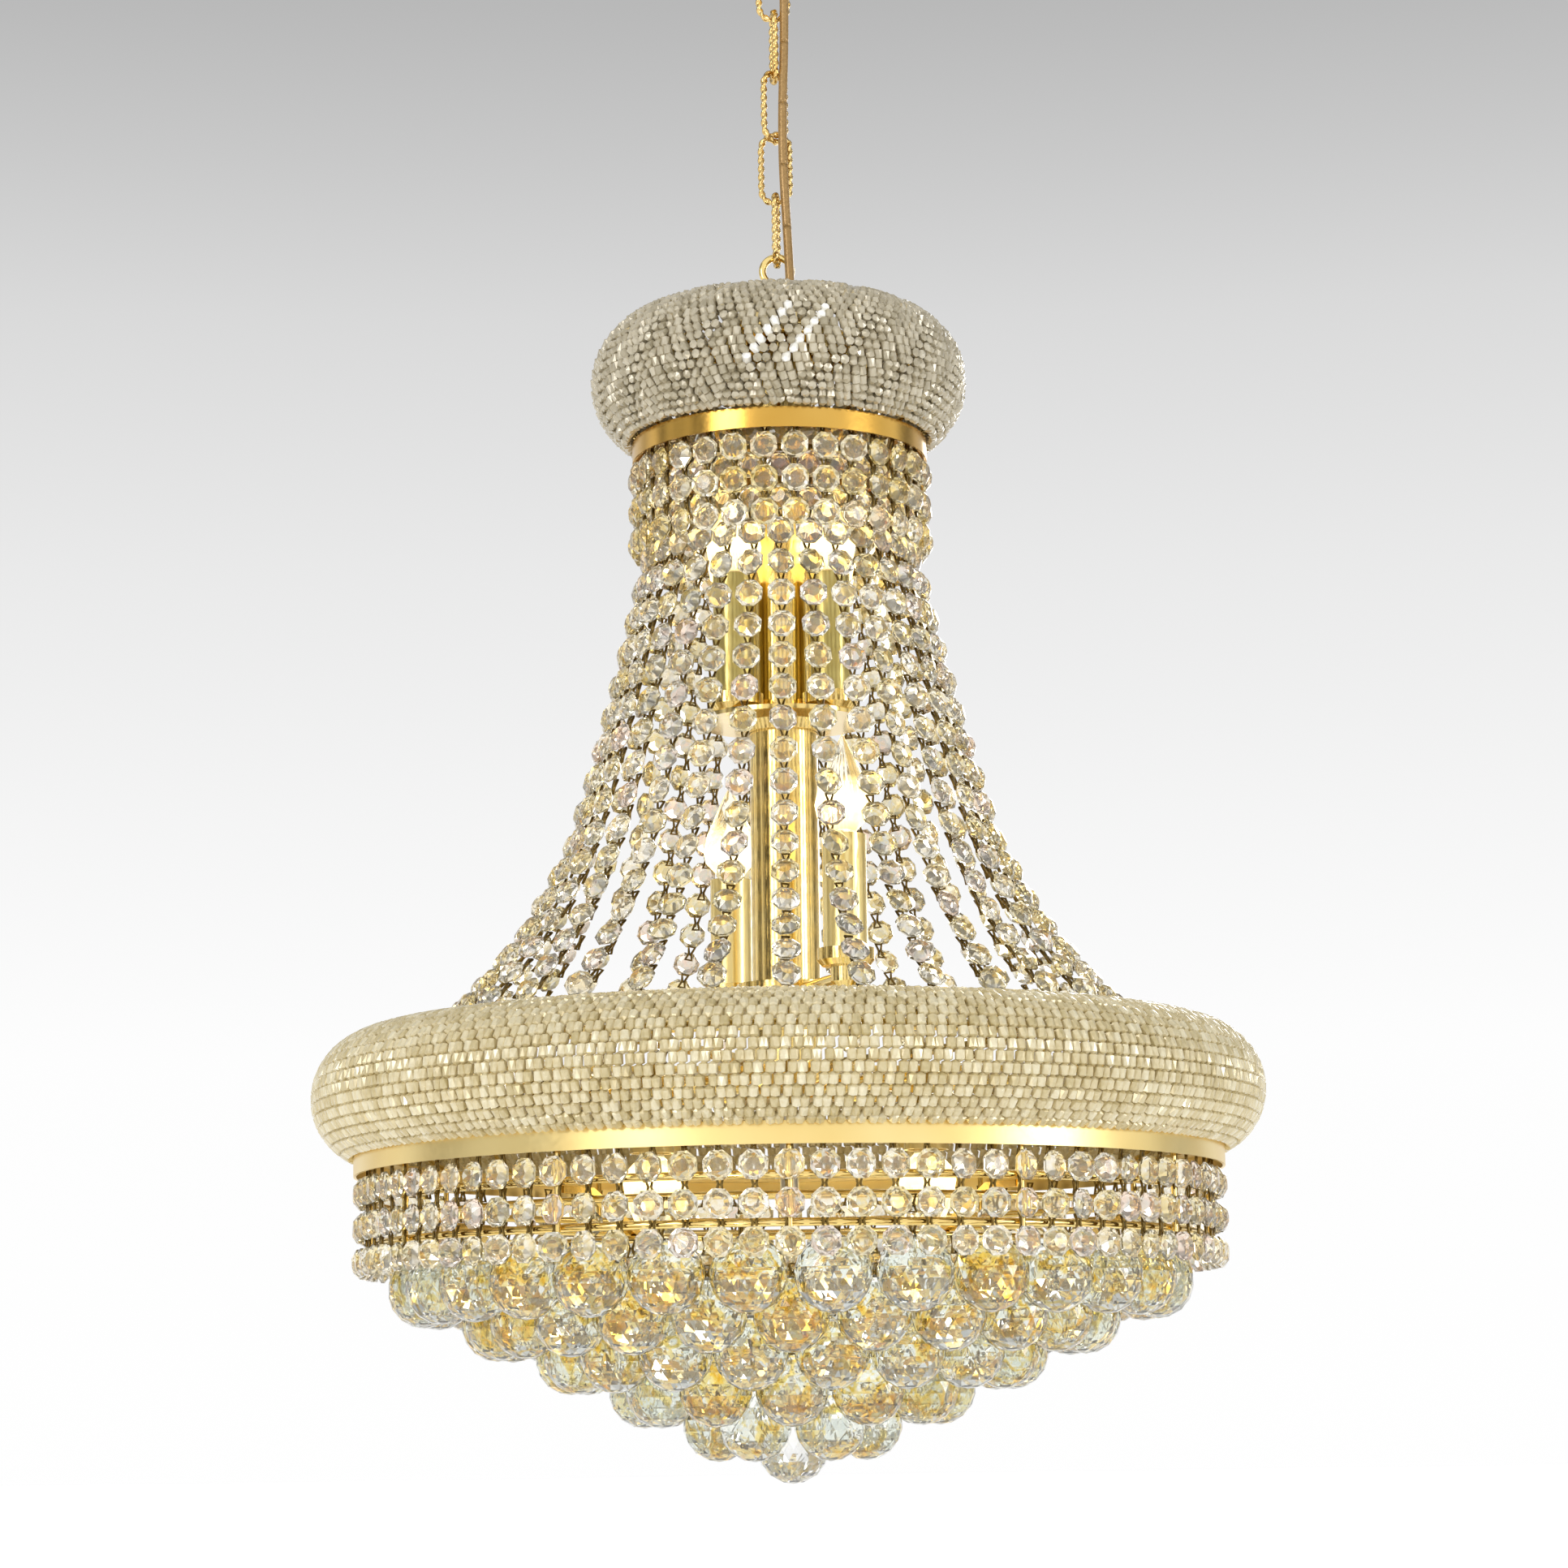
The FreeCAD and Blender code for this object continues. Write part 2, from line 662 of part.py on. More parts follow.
def make_swags():
    """Long strands from the neck out to the large ring."""
    piece = Piece("swag_strands", 0, 6)
    path = piece.place(piece.add("Sketcher::SketchObject", "path"), "XZ_Plane")
    out = swag_end[0] - swag_start[0]
    down = swag_end[1] - swag_start[1]
    points = [(swag_start[0] + out * x, swag_start[1] + down * y) for x, y in swag_curve]
    places = [vector(x.value, y.value, 0) for x, y in points]
    for start, end in zip(places, places[1:]):
        path.addGeometry(Part.LineSegment(start, end), False)
    last = len(places) - 2
    for i in range(last):
        path.addConstraint(Sketcher.Constraint("Coincident", i, 2, i + 1, 1))
    for i, (x, y) in enumerate(points):
        line, end = (i, 1) if i <= last else (last, 2)
        for axis, value in (("x", x), ("y", y)):
            kind = "DistanceX" if axis == "x" else "DistanceY"
            number = path.addConstraint(Sketcher.Constraint(kind, -1, 1, line, end, value.value))
            path.renameConstraint(number, f"{axis}{i}")
            bind(path, f"Constraints.{axis}{i}", value)
    half = strand_thick / 2
    outline = box_outline(-half, half, -neck_width / 2, neck_width / 2)
    section = piece.outline("XY_Plane", outline, right=swag_start[0], out=swag_start[1])
    piece.around(piece.pipe(path, last + 1, section), swag_count)


# ---------------------------------------------------------------- column and lamps

ring_spider_top = ring_top_place[1] - top_ring_wire - play
upper_seat = crown_centre[1] - upper_lamp_drop
middle_seat = ring_centre[1] + middle_lamp_rise
lower_seat = ring_centre[1] - lower_lamp_drop
lower_hub_top = lower_seat + hub_height
cup_radius = sleeve_radius + cup_rim
socket_radius = sleeve_radius - sleeve_wall - socket_room
bulb_base_radius = socket_radius - socket_wall - play
middle_belly = middle_seat + middle_sleeve + 17
upper_lamp_radius = tube_radius + column_gap + (cup_radius + bulb_radius) / 2
middle_lamp_radius = swag_radius_at(middle_belly) - curtain_gap - bulb_radius
lower_lamp_radius = ring_radius - ring_section * 2 - lower_lamp_inset


def make_central_tube():
    """Gold column round the rod, from the crown cap to the lower hub."""
    piece = Piece("central_tube", lower_hub_top)
    piece.turned(box_outline(tube_radius - tube_wall, tube_radius, 0, tube_top - lower_hub_top))


def make_centre_rod(bottom):
    """Threaded rod that clamps the column between the crown loop and the finial nut."""
    piece = Piece("centre_rod", bottom)
    length = rod_top - bottom
    points = [(0, 0), (rod_radius - 0.8, 0), (rod_radius, 0.8), (rod_radius, length), (0, length)]
    piece.turned(points)


def make_leads():
    """Bundle of lamp leads down the inside of the column."""
    x, y, z = cord_points[-1]
    top = z - play
    piece = Piece("lamp_leads", lower_hub_top + play)
    piece.pad(piece.disc("XY_Plane", lead_radius, right=x, up=y), top - lower_hub_top - play)


def make_lamps(name, seat, radius, sleeve, azimuth, count, inverted=False):
    """Cup, sleeve, socket and bulb of one tier, standing on or hanging from its seats."""
    floor = cup_wall
    high = floor + sleeve
    foot = sleeve_radius + 1
    wall = cup_wall * 0.8
    cup = [(3, 0), (foot, 0), (cup_radius, 3), (cup_radius, cup_height), (cup_radius - wall, cup_height)]
    cup += [(cup_radius - wall, 3.5), (foot - 0.4, floor), (3, floor)]
    top = high - 4
    deep = top - bulb_base_length + 2
    room = bulb_base_radius + play
    socket = [(0, floor), (socket_radius, floor), (socket_radius, top), (room, top), (room, deep)]
    socket += [(0, deep)]
    base = deep + play
    shoulder = base + bulb_base_length + 3.5
    bulb = [(0, base), (bulb_base_radius, base), (bulb_base_radius, shoulder)]
    bulb += [(bulb_radius * 0.93, shoulder + 8), (bulb_radius, shoulder + 14)]
    bulb += [(bulb_radius * 0.87, shoulder + 24), (bulb_radius * 0.4, shoulder + 40)]
    bulb += [(0, shoulder + bulb_length - 3)]
    shapes = {
        "cups": cup,
        "sleeves": box_outline(sleeve_radius - sleeve_wall, sleeve_radius, floor, high),
        "sockets": socket,
        "bulbs": bulb,
    }
    for part, points in shapes.items():
        piece = Piece(f"{name}_{part}", seat, azimuth, inverted)
        piece.around(piece.turned(points, radius=radius), count)


def make_upper_plate():
    """Disc round the column that carries the upper lamps."""
    piece = Piece("upper_lamp_plate", upper_seat)
    bore = tube_radius + thread_play
    edge = upper_lamp_radius + 11
    piece.turned([(bore, -8), (bore + 3, -8), (bore + 5, -2.5), (edge, -2.5), (edge, 0), (bore, 0)])


def make_lamp_arms(name, seat, radius, azimuth, count, inverted=False, bore=None):
    """Hub with round arms that end in a seat for each cup."""
    piece = Piece(f"{name}_lamp_arms", seat, azimuth, inverted)
    inside = bore or tube_radius + thread_play
    outside = tube_radius + thread_play + hub_wall
    piece.turned(box_outline(inside, outside, -hub_height, 0))
    start = outside - 2
    arm = piece.pad(piece.disc("YZ_Plane", arm_radius, up=-hub_height / 2, out=start), radius - start)
    piece.around(arm, count)
    boss = piece.turned([(0, -11), (arm_radius + 1, -11), (arm_radius * 2, -8), (arm_radius * 2, 0), (0, 0)],
                        radius=radius)
    piece.around(boss, count)


# ---------------------------------------------------------------- basket and balls

tiers = range(5)
post_place = basket_radius - strand_thick / 2 - play - post_radius
basket_ring_radius = post_place - post_radius - play - basket_wire
tier_step = (basket_ring_radius - ball_margin) / len(tiers)
ball_radius = (tier_step - ball_gap) / 2
hanger_length = ball_radius + hanger_drop
ball_level = ring_centre[1] - ball_drop
lower_ring_level = ring_centre[1] - lower_ring_drop
tier_levels = [ball_level + first_tier_rise + tier_rise * i for i in tiers]
tier_radii = [tier_step * (i + 1) for i in tiers]
hang_levels = [level + hanger_length for level in tier_levels]
bar_under = basket_wire + play
outer_bar_level = hang_levels[-1] + bar_under
hub_start = size(20)
hub_bar_level = hang_levels[0] + bar_under - (tier_radii[0] - hub_start) * tier_rise / tier_step
frame_hub_bottom = hub_bar_level - 2
rod_bottom = frame_hub_bottom - 6
finial_bottom = frame_hub_bottom - 8


def make_posts():
    """Upright wires from the gold band down to the basket's rings."""
    bottom = lower_ring_level - basket_wire
    piece = Piece("basket_posts", bottom)
    length = band_top - sheet_wall - play - bottom
    post = piece.pad(piece.disc("XY_Plane", post_radius, right=post_place), length)
    piece.around(post, post_count)


def make_ball_frame():
    """Sloping flat bars that meet in a hub on the rod."""
    piece = Piece("ball_frame")
    hub_top = hub_bar_level + frame_bar + 2
    bore = rod_radius + thread_play
    piece.turned(box_outline(bore, hub_start + 4, frame_hub_bottom, hub_top))
    reach = basket_ring_radius + 1
    upper_level = outer_bar_level + frame_bar
    points = [(hub_start, hub_bar_level), (tier_radii[-1], outer_bar_level), (reach, outer_bar_level)]
    points += [(reach, upper_level), (tier_radii[-1] - 1, upper_level), (hub_start, hub_bar_level + frame_bar)]
    bar = piece.pad(piece.outline("XZ_Plane", points), frame_bar, both=True)
    piece.around(bar, frame_bar_count)


def make_ball_rings():
    """Five rings of wire under the bars, one for each ring of balls."""
    piece = Piece("ball_rings")
    for radius, level in zip(tier_radii, hang_levels):
        piece.loop("XY_Plane", radius, basket_wire, out=level)


def hanger(low, high):
    """Outline of a wire hook with its small octagon, as one turned solid."""
    middle = (low + high) / 2
    half = (high - low) * 0.42
    points = [(0, low), (hanger_wire, low), (hanger_wire, middle - half), (octagon_radius, middle)]
    return points + [(hanger_wire, middle + half), (hanger_wire, high), (0, high)]


def make_hangers():
    """Hooks and small octagons between the frame and every ball."""
    piece = Piece("ball_hangers")
    for i in tiers:
        low = tier_levels[i] + ball_radius + play
        high = hang_levels[i] - basket_wire - play
        piece.around(piece.turned(hanger(low, high), radius=tier_radii[i]), 6 * (i + 1))
    piece.turned(hanger(ball_level + ball_radius + play, finial_bottom - play))


def make_ball_tier(label, radius, level, count):
    """Faceted balls of one ring, as plain spheres."""
    piece = Piece(label, level)
    ball = piece.place(piece.add("PartDesign::AdditiveSphere", "ball"), "XY_Plane", right=radius)
    bind(ball, "Radius", ball_radius)
    if count > 1:
        piece.around(ball, count)


def make_finial():
    """Nut under the frame's hub that the bottom ball hangs from."""
    piece = Piece("finial_nut", finial_bottom)
    bore = rod_radius + thread_play
    points = [(0, 0), (6, 0), (10, 3), (10, 8), (bore, 8), (bore, 1.8), (0, 1.8)]
    piece.turned(points)


# ---------------------------------------------------------------- the whole chandelier

make_crossbar()
make_nipple()
make_locknuts()
make_ground_screw()
make_canopy()
make_collar_ring()
make_collar_loop()
for i, turn in enumerate(reversed(chain_turns)):
    make_link(len(chain_turns) - i, chain_top - link_length / 2 - link_pitch * i, turn)
make_cord()
make_crown_loop()

make_crown_cap()
wire_ring("crown_top_ring", crown_ring_place[0], top_ring_wire, crown_ring_place[1])
make_ribs("crown_wire_ribs", crown_centre, crown_rib_reach, crown_rib_count)
make_wrap("crown_bead_wrap", crown_centre, crown_section, -58, 118)
make_edge_ring("neck_ring", neck_top, neck_radius, crown_centre[0] - 4)
make_spider("neck_spider", neck_spider_top, neck_radius - 19, 6, 8)
neck_bottom = neck_top - band_height - play
make_straight_strands("neck_strands", neck_bottom, neck_radius - 1.7, swag_count, neck_width)
make_swags()

make_central_tube()
make_centre_rod(rod_bottom)
make_leads()
make_upper_plate()
make_lamps("upper", upper_seat, upper_lamp_radius, upper_sleeve, 45, lamp_count)
make_lamp_arms("middle", middle_seat, middle_lamp_radius, 111, middle_lamp_count)
make_lamps("middle", middle_seat, middle_lamp_radius, middle_sleeve, 111, middle_lamp_count)
lower_bore = rod_radius + thread_play
make_lamp_arms("lower", lower_seat, lower_lamp_radius, 45, lamp_count, inverted=True, bore=lower_bore)
make_lamps("lower", lower_seat, lower_lamp_radius, lower_sleeve, 45, lamp_count, inverted=True)

make_spider("ring_spider", ring_spider_top, ring_top_place[0] + 2, ring_spider_top - lower_hub_top, 12, 7.5)
wire_ring("ring_top_ring", ring_top_place[0], top_ring_wire, ring_top_place[1])
make_ribs("ring_wire_ribs", ring_centre, ring_rib_reach, ring_rib_count)
make_wrap("ring_bead_wrap", ring_centre, ring_section, -63, 130)
make_edge_ring("ring_bottom_band", band_top, band_radius, ring_centre[0] - 4)

wire_ring("basket_middle_ring", basket_ring_radius, basket_wire,
          outer_bar_level + frame_bar + play + basket_wire)
wire_ring("basket_lower_ring", basket_ring_radius, basket_wire, lower_ring_level)
make_posts()
band_bottom = band_top - band_height - play
make_straight_strands("basket_strands", band_bottom, basket_radius, basket_count, basket_width)
make_ball_frame()
make_ball_rings()
make_hangers()
for i in tiers:
    make_ball_tier(f"ball_tier_{5 - i}", tier_radii[i], tier_levels[i], 6 * (i + 1))
make_ball_tier("bottom_ball", size(0), ball_level, 1)
make_finial()

doc.recompute()
faults = []
for item in doc.Objects:
    if "Invalid" in item.State or "Error" in item.State:
        faults.append(f"{item.Name} {item.State}")
for item in parts:
    if item.Shape.isNull() or not item.Shape.isValid():
        faults.append(f"{item.Name} has no valid shape")
if faults:
    raise SystemExit("\n".join(faults))

os.makedirs("parts", exist_ok=True)
for item in parts:
    item.Shape.exportStep(f"parts/{item.Label}.step")
print("parts", len(parts), "crown loop top", round(crown_loop_top.value, 2))
print("link pitch", round(link_pitch.value, 2), "chain top", round(chain_top.value, 2))
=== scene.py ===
import bpy
import bmesh
import json
import math
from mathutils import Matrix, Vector


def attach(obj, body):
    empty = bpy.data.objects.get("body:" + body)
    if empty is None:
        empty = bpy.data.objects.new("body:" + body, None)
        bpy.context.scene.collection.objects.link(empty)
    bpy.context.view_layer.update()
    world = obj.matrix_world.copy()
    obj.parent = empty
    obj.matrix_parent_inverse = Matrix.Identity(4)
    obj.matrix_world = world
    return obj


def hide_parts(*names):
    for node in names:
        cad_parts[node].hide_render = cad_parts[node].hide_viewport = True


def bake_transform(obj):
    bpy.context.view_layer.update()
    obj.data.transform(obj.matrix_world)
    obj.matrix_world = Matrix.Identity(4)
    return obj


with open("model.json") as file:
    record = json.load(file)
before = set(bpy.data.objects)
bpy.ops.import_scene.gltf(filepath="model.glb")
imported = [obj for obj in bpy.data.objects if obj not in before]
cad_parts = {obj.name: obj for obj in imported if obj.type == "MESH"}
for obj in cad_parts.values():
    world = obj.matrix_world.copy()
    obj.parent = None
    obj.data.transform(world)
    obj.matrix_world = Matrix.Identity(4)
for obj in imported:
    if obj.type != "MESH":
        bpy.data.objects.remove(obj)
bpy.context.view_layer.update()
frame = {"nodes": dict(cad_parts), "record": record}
nodes = frame["nodes"]
scene = bpy.context.scene
print("frame loaded:", len(nodes), "nodes")

# Lengths are in metres. The ceiling is at z = 0 and the chandelier hangs below it.


class Wire:  # a socket that takes part in Python sums
    def __init__(self, board, socket):
        self.board = board
        self.socket = socket

    def sum(self, operation, *values):
        return self.board.node("ShaderNodeMath", {"operation": operation}, dict(enumerate(values)))[0]

    def __add__(self, other):
        return self.sum("ADD", self, other)

    def __radd__(self, other):
        return self.sum("ADD", other, self)

    def __sub__(self, other):
        return self.sum("SUBTRACT", self, other)

    def __rsub__(self, other):
        return self.sum("SUBTRACT", other, self)

    def __mul__(self, other):
        return self.sum("MULTIPLY", self, other)

    def __rmul__(self, other):
        return self.sum("MULTIPLY", other, self)

    def __truediv__(self, other):
        return self.sum("DIVIDE", self, other)


class Outlets:  # what a node gives out, by name or number
    def __init__(self, board, made):
        self.board = board
        self.made = made

    def __getitem__(self, key):
        return Wire(self.board, self.made.outputs[key])


class Board:  # a node tree, with the one method that adds a node to it
    def __init__(self, tree):
        self.tree = tree

    def node(self, kind, settings=None, values=None):
        made = self.tree.nodes.new(kind)
        for name, value in (settings or {}).items():
            if name == "stops":
                setStops(made.color_ramp, value)
            else:
                setattr(made, name, value)
        for name, value in (values or {}).items():
            if isinstance(value, Wire):
                self.tree.links.new(value.socket, made.inputs[name])
            else:
                made.inputs[name].default_value = value
        return Outlets(self, made)

    def mixColour(self, share, first, second):
        return self.node("ShaderNodeMix", {"data_type": "RGBA"}, {0: share, 6: first, 7: second})[2]


def setStops(ramp, stops):
    while len(ramp.elements) < len(stops):
        ramp.elements.new(1)
    for element, (place, colour) in zip(ramp.elements, stops):
        element.position = place
        element.color = colour


def grey(level):
    return (level, level, level, 1)


def newMaterial(name):
    material = bpy.data.materials.new(name)
    material.use_nodes = True
    material.node_tree.nodes.clear()
    return material, Board(material.node_tree)


def closeMaterial(board, shader):
    board.node("ShaderNodeOutputMaterial", None, {"Surface": shader})


def tintMix(board, noise, share):
    # the random "tint" of each copy, with noise for the rest
    tint = board.node("ShaderNodeAttribute", {"attribute_name": "tint"})["Fac"]
    return noise * (1 - share) + tint * share


def lampsShineThrough(board, shader, shade):
    # light passes through this glass with a plain shade instead of a full shadow
    clear = board.node("ShaderNodeBsdfTransparent", None, {"Color": shade})
    shadow = board.node("ShaderNodeLightPath")["Is Shadow Ray"]
    mixed = board.node("ShaderNodeMixShader", None, {0: shadow, 1: shader["BSDF"], 2: clear["BSDF"]})
    closeMaterial(board, mixed["Shader"])


def objectNoise(board, scale, detail=2.0):
    place = board.node("ShaderNodeTexCoord")["Object"]
    return board.node("ShaderNodeTexNoise", None, {"Vector": place, "Scale": scale, "Detail": detail})


def polishedGold(name, look):
    material, board = newMaterial(name)
    cloud = objectNoise(board, look["cloudScale"])["Fac"]
    brush = objectNoise(board, look["brushScale"], 4.0)["Fac"]
    colour = board.mixColour(cloud, look["deep"], look["bright"])
    rough = look["roughness"] + brush * look["roughnessSpread"]
    bump = board.node("ShaderNodeBump", None, {
        "Strength": look["bump"], "Distance": bumpDepth["gold"], "Height": brush})
    shader = board.node("ShaderNodeBsdfPrincipled", None, {
        "Base Color": colour, "Metallic": 1.0, "Roughness": rough, "Normal": bump["Normal"]})
    closeMaterial(board, shader["BSDF"])
    return material


def crystal(name, look):
    # clear cut glass with patches of colour: painted refractions and reflections of the gold and the lamps,
    # in place of what the clear glass would show
    material, board = newMaterial(name)
    noise = objectNoise(board, look["patchScale"], 1.0)["Fac"]
    mixture = tintMix(board, noise, look["tintShare"])
    paintedRefraction = board.node("ShaderNodeValToRGB", {"stops": look["patches"]}, {"Fac": mixture})
    shader = board.node("ShaderNodeBsdfPrincipled", None, {
        "Base Color": paintedRefraction["Color"], "Roughness": look["roughness"], "IOR": look["ior"],
        "Transmission Weight": look["clear"]})
    lampsShineThrough(board, shader, look["shadow"])
    return material


def wrapBead(name, look):
    material, board = newMaterial(name)
    grain = objectNoise(board, look["grainScale"], 1.0)["Fac"]
    mixture = tintMix(board, grain, look["tintShare"])
    colour = board.node("ShaderNodeValToRGB", {"stops": look["colours"]}, {"Fac": mixture})["Color"]
    rough = look["roughness"] + grain * look["roughnessSpread"]
    shader = board.node("ShaderNodeBsdfPrincipled", None, {
        "Base Color": colour, "Metallic": look["metallic"], "Roughness": rough, "IOR": look["ior"],
        "Coat Weight": look["coat"], "Coat Roughness": look["coatRoughness"]})
    closeMaterial(board, shader["BSDF"])
    return material


def plainShell(name, look):
    material, board = newMaterial(name)
    cloud = objectNoise(board, look["scale"], 3.0)["Fac"]
    colour = board.mixColour(cloud, look["dark"], look["light"])
    rough = look["roughness"] + cloud * shellRoughnessSpread
    bump = board.node("ShaderNodeBump", None, {
        "Strength": look["bump"], "Distance": bumpDepth["shell"], "Height": cloud})
    shader = board.node("ShaderNodeBsdfPrincipled", None, {
        "Base Color": colour, "Metallic": look["metallic"], "Roughness": rough, "Normal": bump["Normal"]})
    closeMaterial(board, shader["BSDF"])
    return material


def glowingBulb(name, look, node, hanging=False):
    # clear glass that glows near the filament, a little way from the lamp's base
    heights = [v.co.z for v in nodes[node].data.vertices]
    level = max(heights) - look["rise"] if hanging else min(heights) + look["rise"]
    material, board = newMaterial(name)
    place = board.node("ShaderNodeTexCoord")["Object"]
    height = board.node("ShaderNodeSeparateXYZ", None, {0: place})["Z"]
    away = board.node("ShaderNodeMath", {"operation": "ABSOLUTE"}, {0: height - level})[0]
    near = board.node("ShaderNodeMath", {"operation": "SUBTRACT", "use_clamp": True},
                      {0: 1.0, 1: away / look["spread"]})[0]
    cloud = objectNoise(board, look["cloudScale"])["Fac"]
    glow = board.mixColour(cloud, look["edge"], look["heart"])
    shader = board.node("ShaderNodeBsdfPrincipled", None, {
        "Base Color": look["glass"], "Roughness": look["roughness"], "IOR": look["ior"],
        "Transmission Weight": look["clear"], "Emission Color": board.mixColour(near, grey(0.0), glow),
        "Emission Strength": look["strength"]})
    lampsShineThrough(board, shader, look["shadow"])
    return material


bumpDepth = {"gold": 0.0002, "shell": 0.0003}
shellRoughnessSpread = 0.1

goldLook = {"deep": (0.70, 0.46, 0.11, 1), "bright": (0.95, 0.78, 0.36, 1), "cloudScale": 18.0,
            "brushScale": 420.0, "roughness": 0.07, "roughnessSpread": 0.12, "bump": 0.12}
chainLook = dict(goldLook, deep=(0.62, 0.38, 0.10, 1), bright=(0.92, 0.70, 0.32, 1), roughness=0.12)
amberLook = dict(goldLook, deep=(0.50, 0.26, 0.03, 1), bright=(0.80, 0.52, 0.14, 1), roughness=0.16)
bandLook = dict(goldLook, deep=(0.78, 0.54, 0.16, 1), bright=(0.96, 0.80, 0.40, 1), roughness=0.26)
pinLook = dict(goldLook, deep=(0.08, 0.05, 0.01, 1), bright=(0.24, 0.16, 0.05, 1), roughness=0.22)
# the octagons' patches are painted refractions: amber, white, grey and pink colour on clear glass
octagonLook = {"patchScale": 210.0, "roughness": 0.02, "ior": 1.6, "clear": 0.92, "shadow": grey(0.8),
               "tintShare": 0.4,
               "patches": [(0.26, (0.88, 0.76, 0.50, 1)), (0.38, (0.97, 0.95, 0.88, 1)),
                           (0.50, (0.88, 0.71, 0.31, 1)), (0.62, (0.74, 0.75, 0.70, 1)),
                           (0.74, (0.96, 0.76, 0.62, 1))]}
# the neck's octagons take warmer amber patches: painted yellow glow of the lamps around the neck
neckLampGlowLook = dict(octagonLook, patches=[(0.26, (0.95, 0.80, 0.45, 1)), (0.38, (0.98, 0.95, 0.84, 1)),
                                      (0.50, (0.88, 0.66, 0.18, 1)), (0.62, (0.80, 0.76, 0.58, 1)),
                                      (0.74, (0.97, 0.75, 0.48, 1))])
# the balls' patches: pale clear glass with a narrow band of painted amber refraction of the gold
ballLook = {"patchScale": 85.0, "roughness": 0.01, "ior": 1.6, "clear": 0.95, "shadow": grey(0.85),
            "tintShare": 0.15,
            "patches": [(0.40, (0.84, 0.88, 0.85, 1)), (0.53, (0.95, 0.96, 0.92, 1)),
                        (0.57, (0.90, 0.66, 0.14, 1)), (0.63, (0.82, 0.54, 0.07, 1)),
                        (0.67, (0.82, 0.86, 0.83, 1))]}
clearBallLook = dict(ballLook, patches=[(0.0, (0.92, 0.93, 0.93, 1)), (1.0, (0.98, 0.97, 0.94, 1))])
beadLook = {"grainScale": 420.0, "tintShare": 0.55, "roughness": 0.2, "roughnessSpread": 0.1,
            "metallic": 0.15, "ior": 1.6, "coat": 0.5, "coatRoughness": 0.03}
crownBeadLook = dict(beadLook, colours=[(0.15, (0.37, 0.32, 0.21, 1)), (0.50, (0.51, 0.45, 0.32, 1)),
                                        (0.85, (0.64, 0.58, 0.44, 1)), (1.0, (1.0, 0.99, 0.94, 1))])
# the ring's beads: their own champagne colour, lifted and warmed with painted glow of the bulbs inside the
# ring
ringBeadGlowLook = dict(beadLook, colours=[(0.15, (0.54, 0.44, 0.21, 1)), (0.50, (0.69, 0.59, 0.35, 1)),
                                       (0.85, (0.82, 0.75, 0.53, 1))])
sleeveLook = {"dark": (0.80, 0.62, 0.22, 1), "light": (0.93, 0.78, 0.38, 1), "scale": 40.0, "bump": 0.1,
              "metallic": 0.7, "roughness": 0.16}
# the upper sleeves: the same sleeve finish painted dark olive, a painted dark reflection
darkReflectionSleeveLook = dict(sleeveLook, dark=(0.34, 0.27, 0.07, 1), light=(0.70, 0.58, 0.22, 1))
steelLook = {"dark": (0.45, 0.45, 0.44, 1), "light": (0.62, 0.62, 0.60, 1), "scale": 300.0, "bump": 0.2,
             "metallic": 1.0, "roughness": 0.3}
greenLook = dict(steelLook, dark=(0.05, 0.25, 0.08, 1), light=(0.09, 0.36, 0.14, 1), metallic=0.4)
socketLook = {"dark": (0.03, 0.03, 0.03, 1), "light": (0.06, 0.06, 0.06, 1), "scale": 200.0, "bump": 0.2,
              "metallic": 0.0, "roughness": 0.5}
leadLook = {"dark": (0.30, 0.21, 0.09, 1), "light": (0.44, 0.33, 0.15, 1), "scale": 200.0, "bump": 0.1,
            "metallic": 0.0, "roughness": 0.35}
cordLook = {"dark": (0.24, 0.13, 0.04, 1), "light": (0.50, 0.32, 0.12, 1), "scale": 700.0, "bump": 0.5,
            "metallic": 0.35, "roughness": 0.25}
bulbLook = {"edge": (1.0, 0.66, 0.20, 1), "heart": (1.0, 0.86, 0.46, 1), "glass": (1.0, 0.96, 0.84, 1),
            "strength": 1.7, "rise": 0.041, "spread": 0.015, "cloudScale": 60.0, "roughness": 0.04,
            "ior": 1.45, "clear": 0.95, "shadow": grey(0.9)}

gold = polishedGold("polishedGold", goldLook)
chainGold = polishedGold("chainGold", chainLook)
pinGold = polishedGold("pinGold", pinLook)
amberGold = polishedGold("amberGold", amberLook)
bandGold = polishedGold("bandGold", bandLook)
octagonGlass = crystal("octagonGlass", octagonLook)
neckLampGlowGlass = crystal("neckLampGlowGlass", neckLampGlowLook)
ballGlass = crystal("ballGlass", ballLook)
clearBallGlass = crystal("clearBallGlass", clearBallLook)
crownBeads = wrapBead("crownBeads", crownBeadLook)
ringBeadsAndGlow = wrapBead("ringBeadsAndGlow", ringBeadGlowLook)
sleeveFinish = plainShell("candleSleeve", sleeveLook)
darkReflectionSleeve = plainShell("darkReflectionSleeve", darkReflectionSleeveLook)
steel = plainShell("zincSteel", steelLook)
earthGreen = plainShell("earthGreen", greenLook)
socketBlack = plainShell("socketBlack", socketLook)
leadFinish = plainShell("leadInsulation", leadLook)
cordFinish = plainShell("goldCord", cordLook)
upperGlow = glowingBulb("upperBulbGlow", bulbLook, "upper_bulbs")
middleGlow = glowingBulb("middleBulbGlow", bulbLook, "middle_bulbs")
lowerGlow = glowingBulb("lowerBulbGlow", bulbLook, "lower_bulbs", hanging=True)

